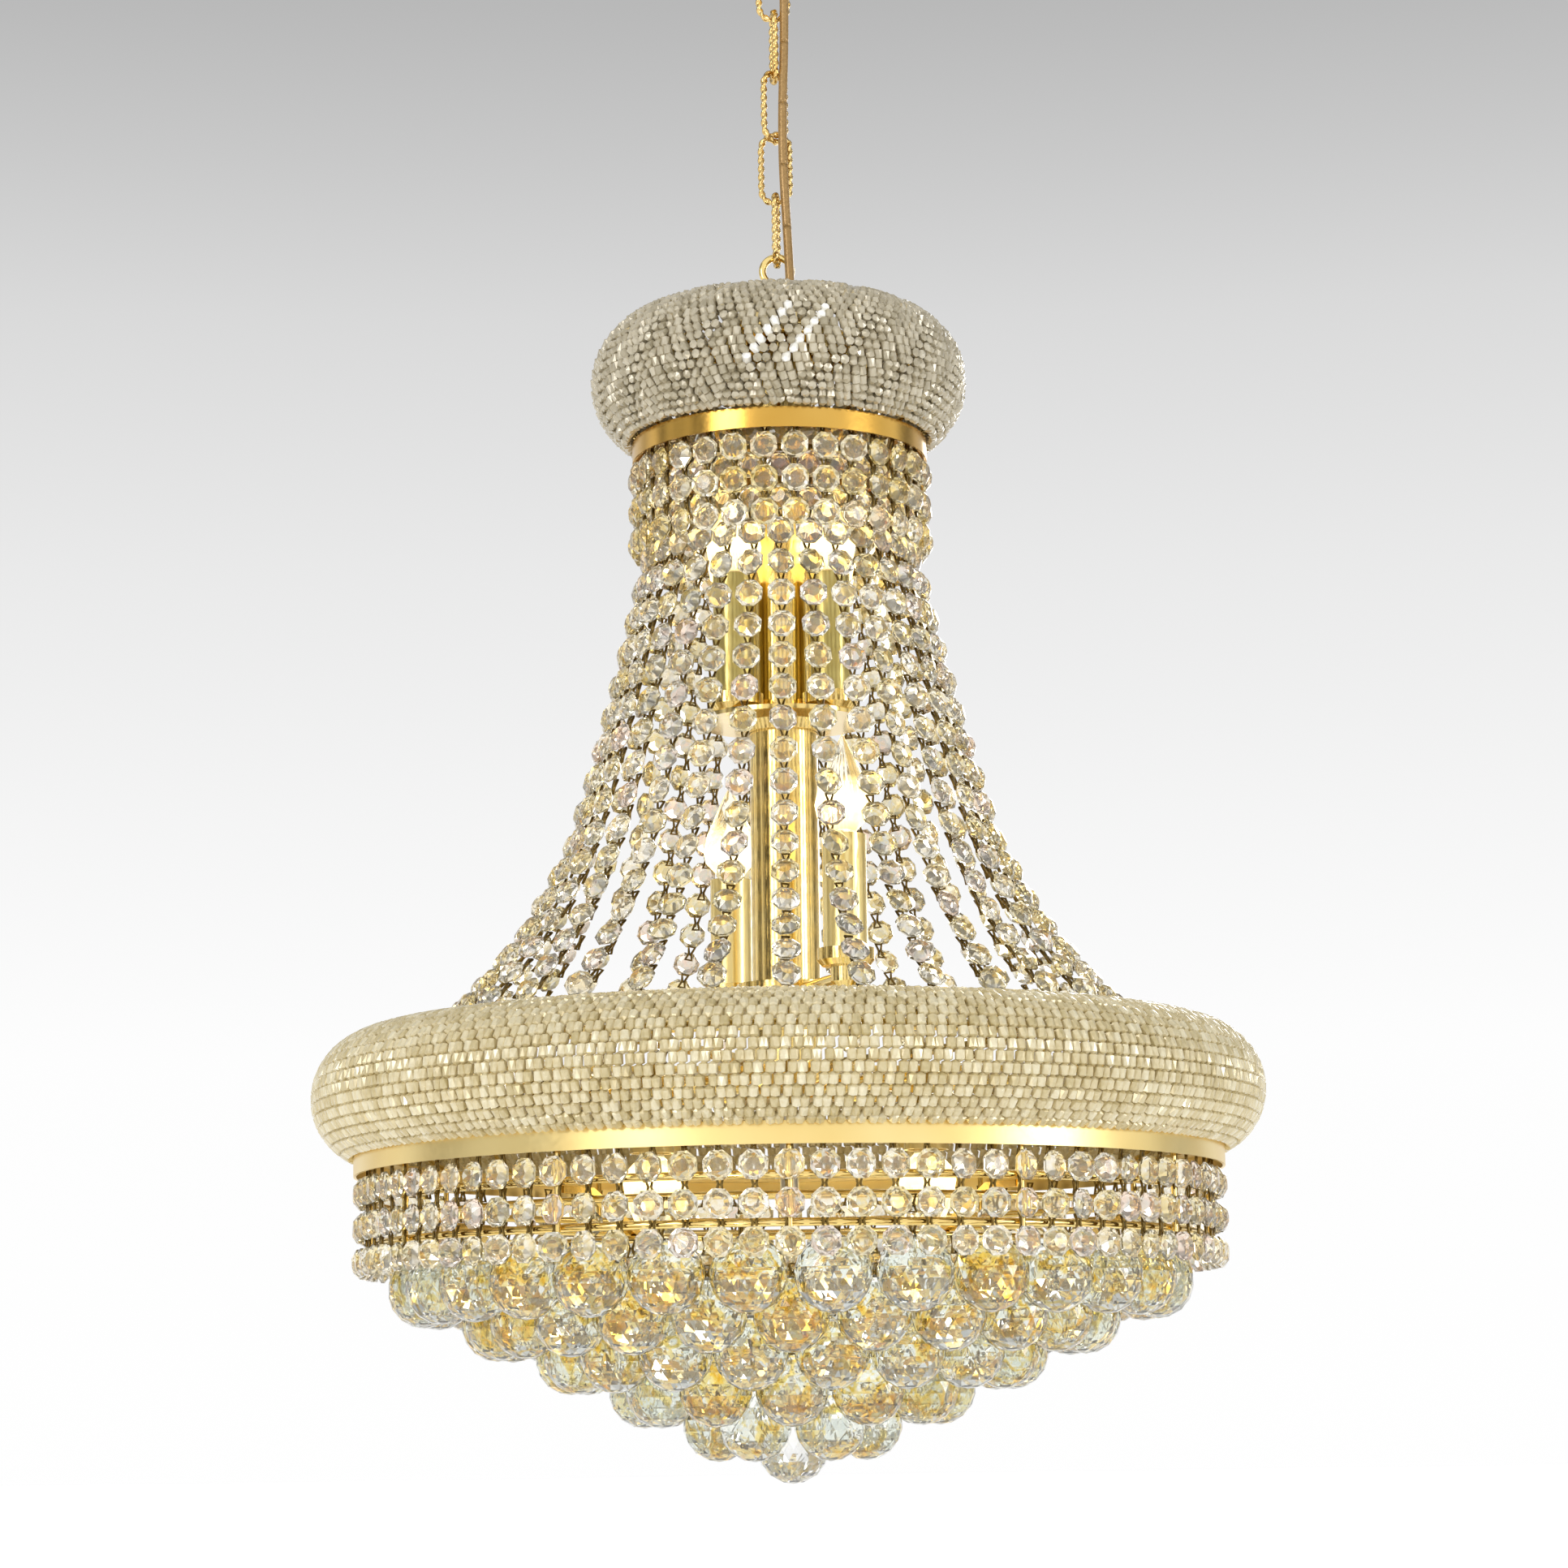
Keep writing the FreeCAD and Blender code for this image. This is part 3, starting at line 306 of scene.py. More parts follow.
slotFinish = {"polished_gold": gold, "zinc_steel": steel, "earth_screw_green": earthGreen,
              "gold_cord": cordFinish, "lead_insulation": leadFinish, "crystal_octagons": octagonGlass,
              "crystal_balls": ballGlass, "small_beads": ringBeadsAndGlow, "ivory_sleeve": sleeveFinish,
              "socket_black": socketBlack, "bulb_glass": lowerGlow}
nodeFinish = {"neck_ring": amberGold, "ring_bottom_band": bandGold, "upper_sleeves": darkReflectionSleeve,
              "upper_bulbs": upperGlow, "middle_bulbs": middleGlow}
for part in frame["record"]["subparts"]:
    owner = nodes[part["node"]]
    owner.data.materials.clear()
    owner.data.materials.append(nodeFinish.get(part["node"], slotFinish[part["material_slot"]]))
print("materials made:", len(bpy.data.materials))


view = {"height": -0.876, "distance": 1.9806, "tilt": 9.64, "roll": 0.8, "lens": 85.0, "sensor": 36.0,
        "farEnd": 200.0}
lens = bpy.data.cameras.new("camera")
lens.lens = view["lens"]
lens.sensor_width = view["sensor"]
lens.clip_end = view["farEnd"]
camera = bpy.data.objects.new("camera", lens)
scene.collection.objects.link(camera)
camera.location = (0, -view["distance"], view["height"])
camera.rotation_euler = (math.radians(90 + view["tilt"]), 0, 0)
camera.rotation_euler.rotate_axis("Z", -math.radians(view["roll"]))
scene.camera = camera

skyLook = {"plain": 0.74,
           "stops": [(0.483, grey(1.0)), (0.548, grey(0.985)), (0.580, grey(0.91)), (0.612, grey(0.82)),
                     (0.644, grey(0.70)), (0.664, grey(0.585)), (0.683, grey(0.485)), (0.85, grey(0.28)),
                     (1.0, grey(0.2))],
           "roomScale": 3.2,
           "room": [(0.36, grey(0.03)), (0.44, grey(0.20)), (0.52, grey(0.75)), (0.64, grey(1.15))],
           "turnAway": 1.55, "turnRate": -1.75, "windowFrom": -0.35, "windowGain": 0.6}


def makeSky(look):
    # the camera sees the backdrop, and so do glossy and transmitted rays that go on behind the object;
    # the others see a patchy room that is brighter on the camera's side
    world = bpy.data.worlds.new("studio")
    world.use_nodes = True
    world.node_tree.nodes.clear()
    scene.world = world
    board = Board(world.node_tree)
    way = board.node("ShaderNodeTexCoord")["Generated"]
    apart = board.node("ShaderNodeSeparateXYZ", None, {0: way})
    height = apart["Z"] * 0.5 + 0.5
    backdrop = board.node("ShaderNodeValToRGB", {"stops": look["stops"]}, {"Fac": height})["Color"]
    spots = board.node("ShaderNodeTexNoise", None, {
        "Vector": way, "Scale": look["roomScale"], "Detail": 1.0})["Fac"]
    window = board.node("ShaderNodeMath", {"operation": "MAXIMUM"},
                        {0: (apart["Y"] * -1 + look["windowFrom"]) * look["windowGain"], 1: 0.0})[0]
    room = board.node("ShaderNodeValToRGB", {"stops": look["room"]}, {"Fac": spots + window})["Color"]
    share = board.node("ShaderNodeMath", {"operation": "ADD", "use_clamp": True},
                       {0: look["turnAway"], 1: apart["Y"] * look["turnRate"]})[0]
    mirrored = board.mixColour(share, backdrop, room)
    path = board.node("ShaderNodeLightPath")
    seenThrough = board.node("ShaderNodeMath", {"operation": "MAXIMUM"},
                             {0: path["Is Glossy Ray"], 1: path["Is Transmission Ray"]})[0]
    lit = board.mixColour(seenThrough, grey(look["plain"]), mirrored)
    colour = board.mixColour(path["Is Camera Ray"], lit, backdrop)
    light = board.node("ShaderNodeBackground", None, {"Color": colour, "Strength": 1.0})
    board.node("ShaderNodeOutputWorld", None, {"Surface": light["Background"]})


makeSky(skyLook)

floorLook = {"level": -1.9, "half": 60.0, "colour": (0.86, 0.86, 0.86, 1), "roughness": 0.9,
             "glow": 0.45}


def makeFloor(look):
    half = look["half"]
    corners = [(-half, -half), (half, -half), (half, half), (-half, half)]
    mesh = bpy.data.meshes.new("floor")
    mesh.from_pydata([(x, y, look["level"]) for x, y in corners], [], [(0, 1, 2, 3)])
    floor = bpy.data.objects.new("floor", mesh)
    scene.collection.objects.link(floor)
    material, board = newMaterial("paleFloor")
    path = board.node("ShaderNodeLightPath")
    sight = path["Is Camera Ray"] + path["Is Glossy Ray"] + path["Is Transmission Ray"]
    glow = board.mixColour(sight, grey(0.0), grey(look["glow"]))
    shader = board.node("ShaderNodeBsdfPrincipled", None, {
        "Base Color": look["colour"], "Roughness": look["roughness"], "Emission Color": glow,
        "Emission Strength": 1.0})
    closeMaterial(board, shader["BSDF"])
    mesh.materials.append(material)


makeFloor(floorLook)

lampLooks = {
    "keyLight": {"place": (-1.7, -2.0, 0.2), "size": 1.1, "watts": 20.0, "colour": (1.0, 0.98, 0.95)},
    "sideLight": {"place": (2.2, -1.0, -0.3), "size": 0.8, "watts": 14.0, "colour": (1.0, 0.99, 0.97)},
    "backLight": {"place": (0.6, 2.2, 0.1), "size": 1.0, "watts": 14.0, "colour": (1.0, 1.0, 1.0)},
    "sparkLight": {"place": (-0.5, -1.7, -1.6), "size": 0.12, "watts": 4.0, "colour": (1.0, 0.95, 0.85)},
}
lampAim = Vector((0, 0, -0.62))


def makeLamps(looks):
    for name, look in looks.items():
        light = bpy.data.lights.new(name, "AREA")
        light.size = look["size"]
        light.energy = look["watts"]
        light.color = look["colour"]
        lamp = bpy.data.objects.new(name, light)
        scene.collection.objects.link(lamp)
        lamp.location = look["place"]
        lamp.rotation_euler = (lampAim - Vector(look["place"])).to_track_quat("-Z", "Y").to_euler()


makeLamps(lampLooks)
scene.view_settings.view_transform = "Standard"
print("camera, backdrop and light made")


templates = []


def template(name, points, faces, smooth=False):
    mesh = bpy.data.meshes.new(name)
    mesh.from_pydata(points, [], faces)
    shape = bmesh.new()
    shape.from_mesh(mesh)
    bmesh.ops.recalc_face_normals(shape, faces=shape.faces)
    shape.to_mesh(mesh)
    shape.free()
    if smooth:
        mesh.shade_smooth()
    item = bpy.data.objects.new(name, mesh)
    scene.collection.objects.link(item)
    templates.append(item)
    return item


def ringPoints(sides, radius, depth, phase):
    # a ring round local X, at a depth along it
    points = []
    for k in range(sides):
        angle = math.radians(phase) + 2 * math.pi * k / sides
        points.append((depth, radius * math.cos(angle), radius * math.sin(angle)))
    return points


def octagonBead(name, look):
    # table, star facets and girdle on each side; the strand runs along local Z, the front is local X
    sides = 8
    halfSide = 180 / sides
    wide = look["across"] / 2 / math.cos(math.pi / sides)
    flat = wide * look["table"]
    deep = look["thick"] / 2
    girdle = look["girdle"] / 2
    points = ringPoints(sides, flat, deep, 0) + ringPoints(sides, wide, girdle, halfSide)
    points += ringPoints(sides, wide, -girdle, halfSide) + ringPoints(sides, flat, -deep, 0)
    rim = sides
    backRim = 2 * sides
    back = 3 * sides
    faces = [tuple(range(sides)), tuple(range(back, back + sides))]
    for k in range(sides):
        after = (k + 1) % sides
        faces += [(k, after, rim + k), (after, rim + after, rim + k)]
        faces.append((rim + k, rim + after, backRim + after, backRim + k))
        faces += [(back + k, back + after, backRim + k), (back + after, backRim + after, backRim + k)]
    return template(name, points, faces)


def bowPin(name, look):
    # one closed wire in the shape of a bow: wide at both octagons and narrow between them
    wide = look["wide"]
    waist = look["waist"]
    reach = look["reach"]
    path = [(wide, -reach), (waist, 0), (wide, reach), (-wide, reach), (-waist, 0), (-wide, -reach)]
    points = []
    faces = []
    sides = 5
    for k, (y, z) in enumerate(path):
        before = path[k - 1]
        after = path[(k + 1) % len(path)]
        ahead = Vector((0, after[0] - before[0], after[1] - before[1])).normalized()
        aside = ahead.cross(Vector((1, 0, 0)))
        for j in range(sides):
            angle = 2 * math.pi * j / sides
            out = look["front"] + look["radius"] * math.cos(angle)
            place = Vector((out, y, z)) + aside * look["radius"] * math.sin(angle)
            points.append(place[:])
            nextRow = (k + 1) % len(path) * sides
            faces.append((k * sides + j, k * sides + (j + 1) % sides, nextRow + (j + 1) % sides, nextRow + j))
    return template(name, points, faces, smooth=True)


def cutBall(name, radius, rows):
    # rows are (latitude in degrees, points in the row, share of a step that it is turned)
    shape = bmesh.new()
    for latitude, count, turn in rows:
        high = math.radians(latitude)
        for k in range(count):
            angle = 2 * math.pi * (k + turn) / count
            reach = radius * math.cos(high)
            shape.verts.new((reach * math.cos(angle), reach * math.sin(angle), radius * math.sin(high)))
    bmesh.ops.convex_hull(shape, input=shape.verts)
    mesh = bpy.data.meshes.new(name)
    shape.to_mesh(mesh)
    shape.free()
    return template(name, [v.co[:] for v in mesh.vertices], [tuple(p.vertices) for p in mesh.polygons])


octagonSize = {"across": 0.0142, "table": 0.50, "thick": 0.0072, "girdle": 0.0016}
octagon = octagonBead("octagonTemplate", octagonSize)
smallOctagon = octagonBead("smallOctagonTemplate", dict(octagonSize, across=0.0120, thick=0.0060))
pinSize = {"reach": 0.0042, "front": 0.0038, "radius": 0.00078, "wide": 0.0019, "waist": 0.0007}
pin = bowPin("pinTemplate", pinSize)
ballRadius = 0.019
ballRows = [(90, 1, 0), (72, 8, 0), (50, 16, 0.25), (28, 16, 0.75), (9, 18, 0.2), (-9, 18, 0.7),
            (-28, 16, 0.25), (-50, 16, 0.75), (-72, 8, 0.5), (-90, 1, 0)]
ball = cutBall("ballTemplate", ballRadius, ballRows)
# a bead one metre across, which the wraps scale to their own size
beadRows = [(90, 1, 0), (38, 7, 0), (-38, 7, 0.5), (-90, 1, 0)]
roundBead = cutBall("beadTemplate", 0.5, beadRows)


def newTree(name, sockets):
    tree = bpy.data.node_groups.new(name, "GeometryNodeTree")
    tree.interface.new_socket(name="Geometry", in_out="INPUT", socket_type="NodeSocketGeometry")
    for label, kind in sockets.items():
        tree.interface.new_socket(name=label, in_out="INPUT", socket_type="NodeSocket" + kind)
    tree.interface.new_socket(name="Geometry", in_out="OUTPUT", socket_type="NodeSocketGeometry")
    board = Board(tree)
    return tree, board, board.node("NodeGroupInput")


def tinted(board, inputs, instances, extra=0.0):
    # every copy gets its own random tint, then all become one mesh with the material
    chance = board.node("FunctionNodeRandomValue", None, {"Seed": inputs["Seed"]})[1] + extra
    named = board.node("GeometryNodeStoreNamedAttribute", {"data_type": "FLOAT", "domain": "INSTANCE"},
                       {"Geometry": instances, "Name": "tint", "Value": chance})["Geometry"]
    real = board.node("GeometryNodeRealizeInstances", None, {"Geometry": named})["Geometry"]
    done = board.node("GeometryNodeSetMaterial", None, {"Geometry": real, "Material": inputs["Material"]})
    board.node("NodeGroupOutput", None, {"Geometry": done["Geometry"]})


def turnBy(board, x, y, z):
    euler = board.node("ShaderNodeCombineXYZ", None, {"X": x, "Y": y, "Z": z})["Vector"]
    return board.node("FunctionNodeEulerToRotation", None, {"Euler": euler})["Rotation"]


def chanceOf(board, inputs, spread, salt):
    return board.node("FunctionNodeRandomValue", None,
                      {2: spread * -1, 3: spread, "Seed": inputs["Seed"] + salt})[1]


# a copy turns at random about its strand, and by this share of that about its two other axes
swayShare = 0.3


def strandTree():
    # copies along a path in the XZ plane, then all round the axis
    tree, board, inputs = newTree("strandsRound", {
        "Bead": "Object", "Along": "Int", "Lead": "Float", "Until": "Float", "Count": "Int", "Phase": "Float",
        "Wobble": "Float", "Seed": "Int", "Material": "Material"})
    curve = board.node("GeometryNodeMeshToCurve", None, {"Mesh": inputs["Geometry"]})["Curve"]
    cut = board.node("GeometryNodeTrimCurve", {"mode": "LENGTH"},
                     {"Curve": curve, 4: inputs["Lead"], 5: inputs["Until"]})["Curve"]
    spaced = board.node("GeometryNodeCurveToPoints", {"mode": "COUNT"},
                        {"Curve": cut, "Count": inputs["Along"]})
    copies = board.node("GeometryNodeDuplicateElements", {"domain": "POINT"},
                        {"Geometry": spaced["Points"], "Amount": inputs["Count"]})
    angle = copies["Duplicate Index"] * (2 * math.pi) / inputs["Count"] + inputs["Phase"]
    place = board.node("GeometryNodeInputPosition")["Position"]
    turned = board.node("ShaderNodeVectorRotate", {"rotation_type": "Z_AXIS"},
                        {"Vector": place, "Angle": angle})
    moved = board.node("GeometryNodeSetPosition", None,
                       {"Geometry": copies["Geometry"], "Position": turned["Vector"]})["Geometry"]
    along = board.node("FunctionNodeAlignRotationToVector", {"axis": "Z", "pivot_axis": "Y"},
                       {"Vector": spaced["Tangent"]})["Rotation"]
    sway = inputs["Wobble"] * swayShare
    wobble = turnBy(board, chanceOf(board, inputs, sway, 1), chanceOf(board, inputs, sway, 2),
                    chanceOf(board, inputs, inputs["Wobble"], 3))
    local = board.node("FunctionNodeRotateRotation", {"rotation_space": "LOCAL"},
                       {"Rotation": along, "Rotate By": wobble})["Rotation"]
    whole = board.node("FunctionNodeRotateRotation", {"rotation_space": "GLOBAL"},
                       {"Rotation": local, "Rotate By": turnBy(board, 0.0, 0.0, angle)})["Rotation"]
    shape = board.node("GeometryNodeObjectInfo", None, {"Object": inputs["Bead"]})["Geometry"]
    instances = board.node("GeometryNodeInstanceOnPoints", None,
                           {"Points": moved, "Instance": shape, "Rotation": whole})["Instances"]
    tinted(board, inputs, instances)
    return tree


# the widest random turn of a bead in radians, the spread of its width, and what a pale one adds to its tint
anyTurn = 3.0
widthSpread = 0.05
paleLift = 2


def wrapTree():
    # strings of small beads wound over the round section of a ring, two of them with a pale stretch
    tree, board, inputs = newTree("beadWrap", {
        "Bead": "Object", "Strings": "Int", "Beads": "Int", "Ring Radius": "Float",
        "Section Radius": "Float", "Level": "Float", "Start": "Float", "End": "Float", "Lean": "Float",
        "Width": "Float", "Height": "Float", "Jitter": "Float", "Weave": "Float", "Thin Above": "Float",
        "Pale String": "Float", "Pale Step": "Float", "Pale From": "Float", "Pale To": "Float",
        "Seed": "Int", "Material": "Material"})
    number = board.node("GeometryNodeInputIndex")["Index"]
    string = board.node("ShaderNodeMath", {"operation": "FLOOR"}, {0: (number + 0.5) / inputs["Beads"]})[0]
    bead = number - string * inputs["Beads"]
    share = (bead + 0.5) / inputs["Beads"]
    checker = board.node("ShaderNodeMath", {"operation": "MODULO"}, {0: string + bead, 1: 2.0})[0] * 2 - 1
    wide = chanceOf(board, inputs, inputs["Jitter"], 4) + checker * inputs["Weave"]
    section = inputs["Start"] + (inputs["End"] - inputs["Start"]) * share
    turn = (string + share * inputs["Lean"] + wide) * (2 * math.pi) / inputs["Strings"]
    out = inputs["Section Radius"] * board.node("ShaderNodeMath", {"operation": "COSINE"}, {0: section})[0]
    up = inputs["Section Radius"] * board.node("ShaderNodeMath", {"operation": "SINE"}, {0: section})[0]
    flat = board.node("ShaderNodeCombineXYZ", None,
                      {"X": inputs["Ring Radius"] + out, "Z": inputs["Level"] + up})
    place = board.node("ShaderNodeVectorRotate", {"rotation_type": "Z_AXIS"},
                       {"Vector": flat["Vector"], "Angle": turn})
    cloud = board.node("GeometryNodePoints", None, {"Count": inputs["Strings"] * inputs["Beads"],
                                                    "Position": place["Vector"]})[0]
    odd = board.node("ShaderNodeMath", {"operation": "MODULO"}, {0: string, 1: 2.0})[0]
    tight = board.node("ShaderNodeMath", {"operation": "GREATER_THAN"},
                       {0: section, 1: inputs["Thin Above"]})[0]
    near = [board.node("ShaderNodeMath", {"operation": "COMPARE"}, {0: string, 1: aim, 2: 0.5})[0]
            for aim in (inputs["Pale String"], inputs["Pale String"] + inputs["Pale Step"])]
    above = board.node("ShaderNodeMath", {"operation": "GREATER_THAN"}, {0: bead, 1: inputs["Pale From"]})[0]
    below = board.node("ShaderNodeMath", {"operation": "LESS_THAN"}, {0: bead, 1: inputs["Pale To"]})[0]
    streak = (near[0] + near[1]) * above * below
    marked = board.node("GeometryNodeStoreNamedAttribute", {"data_type": "FLOAT", "domain": "POINT"},
                        {"Geometry": cloud, "Name": "pale", "Value": streak})["Geometry"]
    kept = board.node("GeometryNodeDeleteGeometry", {"domain": "POINT"},
                      {"Geometry": marked, "Selection": odd * tight})["Geometry"]
    roll = turnBy(board, 0.0, 0.0, chanceOf(board, inputs, anyTurn, 5))
    upright = turnBy(board, 0.0, 0.0 - section, 0.0)
    local = board.node("FunctionNodeRotateRotation", {"rotation_space": "LOCAL"},
                       {"Rotation": upright, "Rotate By": roll})["Rotation"]
    whole = board.node("FunctionNodeRotateRotation", {"rotation_space": "GLOBAL"},
                       {"Rotation": local, "Rotate By": turnBy(board, 0.0, 0.0, turn)})["Rotation"]
    wider = inputs["Width"] + chanceOf(board, inputs, inputs["Width"] * widthSpread, 6)
    scale = board.node("ShaderNodeCombineXYZ", None,
                       {"X": wider, "Y": wider, "Z": inputs["Height"]})["Vector"]
    shape = board.node("GeometryNodeObjectInfo", None, {"Object": inputs["Bead"]})["Geometry"]
    instances = board.node("GeometryNodeInstanceOnPoints", None,
                           {"Points": kept, "Instance": shape, "Rotation": whole,
                            "Scale": scale})["Instances"]
    pale = board.node("GeometryNodeInputNamedAttribute", {"data_type": "FLOAT"},
                      {"Name": "pale"})["Attribute"]
    tinted(board, inputs, instances, pale * paleLift)
    return tree


def circleTree():
    # copies on a level circle, each turned at random about its own upright
    tree, board, inputs = newTree("copiesOnCircle", {
        "Shape": "Object", "Count": "Int", "Radius": "Float", "Level": "Float", "Phase": "Float",
        "Spin": "Float", "Seed": "Int", "Material": "Material"})
    angle = board.node("GeometryNodeInputIndex")["Index"] * (2 * math.pi) / inputs["Count"] + inputs["Phase"]
    flat = board.node("ShaderNodeCombineXYZ", None, {"X": inputs["Radius"], "Z": inputs["Level"]})
    place = board.node("ShaderNodeVectorRotate", {"rotation_type": "Z_AXIS"},
                       {"Vector": flat["Vector"], "Angle": angle})
    cloud = board.node("GeometryNodePoints", None, {"Count": inputs["Count"], "Position": place["Vector"]})[0]
    turn = angle + chanceOf(board, inputs, inputs["Spin"], 1)
    shape = board.node("GeometryNodeObjectInfo", None, {"Object": inputs["Shape"]})["Geometry"]
    instances = board.node("GeometryNodeInstanceOnPoints", None, {
        "Points": cloud, "Instance": shape, "Rotation": turnBy(board, 0.0, 0.0, turn)})["Instances"]
    tinted(board, inputs, instances)
    return tree


def twistTree():
    # a closed path swept by a flattened wire that turns as it goes
    tree, board, inputs = newTree("twistedWire", {
        "Rings": "Int", "Sides": "Int", "Turns": "Float", "Radius": "Float", "Waist": "Float",
        "Material": "Material"})
    curve = board.node("GeometryNodeMeshToCurve", None, {"Mesh": inputs["Geometry"]})["Curve"]
    even = board.node("GeometryNodeResampleCurve", {"mode": "COUNT"},
                      {"Curve": curve, "Count": inputs["Rings"]})["Curve"]
    number = board.node("GeometryNodeInputIndex")["Index"]
    tilt = number * inputs["Turns"] * (2 * math.pi) / inputs["Rings"]
    twisted = board.node("GeometryNodeSetCurveTilt", None, {"Curve": even, "Tilt": tilt})["Curve"]
    circle = board.node("GeometryNodeCurvePrimitiveCircle", {"mode": "RADIUS"},
                        {"Resolution": inputs["Sides"], "Radius": inputs["Radius"]})["Curve"]
    doubled = number * (4 * math.pi) / inputs["Sides"]
    wave = board.node("ShaderNodeMath", {"operation": "COSINE"}, {0: doubled})[0]
    share = 1 - inputs["Waist"] * (0.5 - wave * 0.5)
    place = board.node("GeometryNodeInputPosition")["Position"]
    pinched = board.node("ShaderNodeVectorMath", {"operation": "SCALE"}, {0: place, "Scale": share})["Vector"]
    profile = board.node("GeometryNodeSetPosition", None,
                         {"Geometry": circle, "Position": pinched})["Geometry"]
    mesh = board.node("GeometryNodeCurveToMesh", None, {"Curve": twisted, "Profile Curve": profile})["Mesh"]
    real = board.node("GeometryNodeRealizeInstances", None, {"Geometry": mesh})["Geometry"]
    smooth = board.node("GeometryNodeSetShadeSmooth", None, {"Geometry": real})["Geometry"]
    done = board.node("GeometryNodeSetMaterial", None, {"Geometry": smooth, "Material": inputs["Material"]})
    board.node("NodeGroupOutput", None, {"Geometry": done["Geometry"]})
    return tree


strands = strandTree()
wraps = wrapTree()
circles = circleTree()
twists = twistTree()


def grow(name, tree, values, points=(), edges=()):
    # runs a node tree on an outline and keeps the result as a plain mesh
    outline = bpy.data.meshes.new(name + "Outline")
    outline.from_pydata(list(points), list(edges), [])
    host = bpy.data.objects.new(name + "Host", outline)
    scene.collection.objects.link(host)
    modifier = host.modifiers.new("grow", "NODES")
    modifier.node_group = tree
    for item in tree.interface.items_tree:
        if item.in_out == "INPUT" and item.name in values:
            modifier[item.identifier] = values[item.name]
    graph = bpy.context.evaluated_depsgraph_get()
    graph.update()
    mesh = bpy.data.meshes.new_from_object(host.evaluated_get(graph), preserve_all_data_layers=True,
                                           depsgraph=graph)
    mesh.name = name
    bpy.data.objects.remove(host)
    piece = bpy.data.objects.new(name, mesh)
    scene.collection.objects.link(piece)
    return piece


def joined(name, members):
    # several grown pieces become one mesh
    shape = bmesh.new()
    for member in members:
        shape.from_mesh(member.data)
    mesh = members[0].data.copy()
    shape.to_mesh(mesh)
    shape.free()
    mesh.name = name
    for member in members:
        bpy.data.objects.remove(member)
    piece = bpy.data.objects.new(name, mesh)
    scene.collection.objects.link(piece)
    return piece


def settle(piece, body, slot, *replaced):
    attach(piece, body)
    if replaced:
        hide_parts(*replaced)
    print("made", piece.name, len(piece.data.polygons), "faces")
    return piece


chain = {"top": -0.0622, "pitch": 0.0357, "length": 0.044, "width": 0.020, "wire": 0.0020,
         "turns": {5: 6, 4: 96, 3: 43, 2: -9, 1: 85}, "twists": 10, "rings": 132, "sides": 12, "waist": 0.42,
         "bendSteps": 12}


def ovalPoints(look, level, turn):
    bend = look["width"] / 2 - look["wire"]
    reach = look["length"] / 2 - look["wire"] - bend
    heading = math.radians(turn)
    points = []
    for start, middle in ((0, reach), (math.pi, -reach)):
        for k in range(look["bendSteps"] + 1):
            angle = math.pi * k / look["bendSteps"] + start
            across = bend * math.cos(angle)
            height = level + middle + bend * math.sin(angle)
            points.append((across * math.cos(heading), across * math.sin(heading), height))
    return points


def loopEdges(count):
    return [(k, (k + 1) % count) for k in range(count)]


for number, turn in chain["turns"].items():
    level = chain["top"] - chain["pitch"] * (len(chain["turns"]) - number) - chain["length"] / 2
    outline = ovalPoints(chain, level, turn)
    link = grow(f"twisted_link_{number}", twists, {
        "Rings": chain["rings"], "Sides": chain["sides"], "Turns": float(chain["twists"]),
        "Radius": chain["wire"], "Waist": chain["waist"], "Material": chainGold},
        outline, loopEdges(len(outline)))
    settle(link, f"link_{number}", "polished_gold", f"chain_link_{number}")

cord = {"radius": 0.0025, "sides": 14, "smoothness": 16, "heldAbove": -0.052,
        "heldBelow": -0.262,
        "points": [(0, 0, -0.006), (0, 0, -0.029), (0.0060, -0.0058, -0.052), (0.0062, -0.0052, -0.088),
                   (0.0058, -0.0050, -0.122), (0.0043, -0.0062, -0.158), (0.0042, -0.0065, -0.192),
                   (0.0058, -0.0056, -0.224), (0.0072, -0.0070, -0.256), (0.0080, -0.0078, -0.286)]}


def smoothRoute(look):
    points = look["points"]
    curve = bpy.data.curves.new("cordRoute", "CURVE")
    curve.dimensions = "3D"
    curve.resolution_u = look["smoothness"]
    spline = curve.splines.new("NURBS")
    spline.points.add(len(points) - 1)
    for point, place in zip(spline.points, points):
        point.co = (*place, 1)
    spline.order_u = 3
    spline.use_endpoint_u = True
    holder = bpy.data.objects.new("cordRoute", curve)
    scene.collection.objects.link(holder)
    graph = bpy.context.evaluated_depsgraph_get()
    line = bpy.data.meshes.new_from_object(holder.evaluated_get(graph), depsgraph=graph)
    route = [v.co.copy() for v in line.vertices]
    bpy.data.objects.remove(holder)
    return route


def tubeMesh(name, route, radius, sides):
    points = []
    faces = []
    side = Vector((1, 0, 0))
    for k, place in enumerate(route):
        ahead = route[min(k + 1, len(route) - 1)] - route[max(k - 1, 0)]
        ahead.normalize()
        side = (side - ahead * side.dot(ahead)).normalized()
        other = ahead.cross(side)
        for j in range(sides):
            angle = 2 * math.pi * j / sides
            points.append(place + (side * math.cos(angle) + other * math.sin(angle)) * radius)
    for k in range(len(route) - 1):
        for j in range(sides):
            after = (j + 1) % sides
            faces.append((k * sides + j, k * sides + after, (k + 1) * sides + after, (k + 1) * sides + j))
    faces += [tuple(range(sides - 1, -1, -1)), tuple(range(len(points) - sides, len(points)))]
    mesh = bpy.data.meshes.new(name)
    mesh.from_pydata(points, [], faces)
    mesh.shade_smooth()
    return mesh


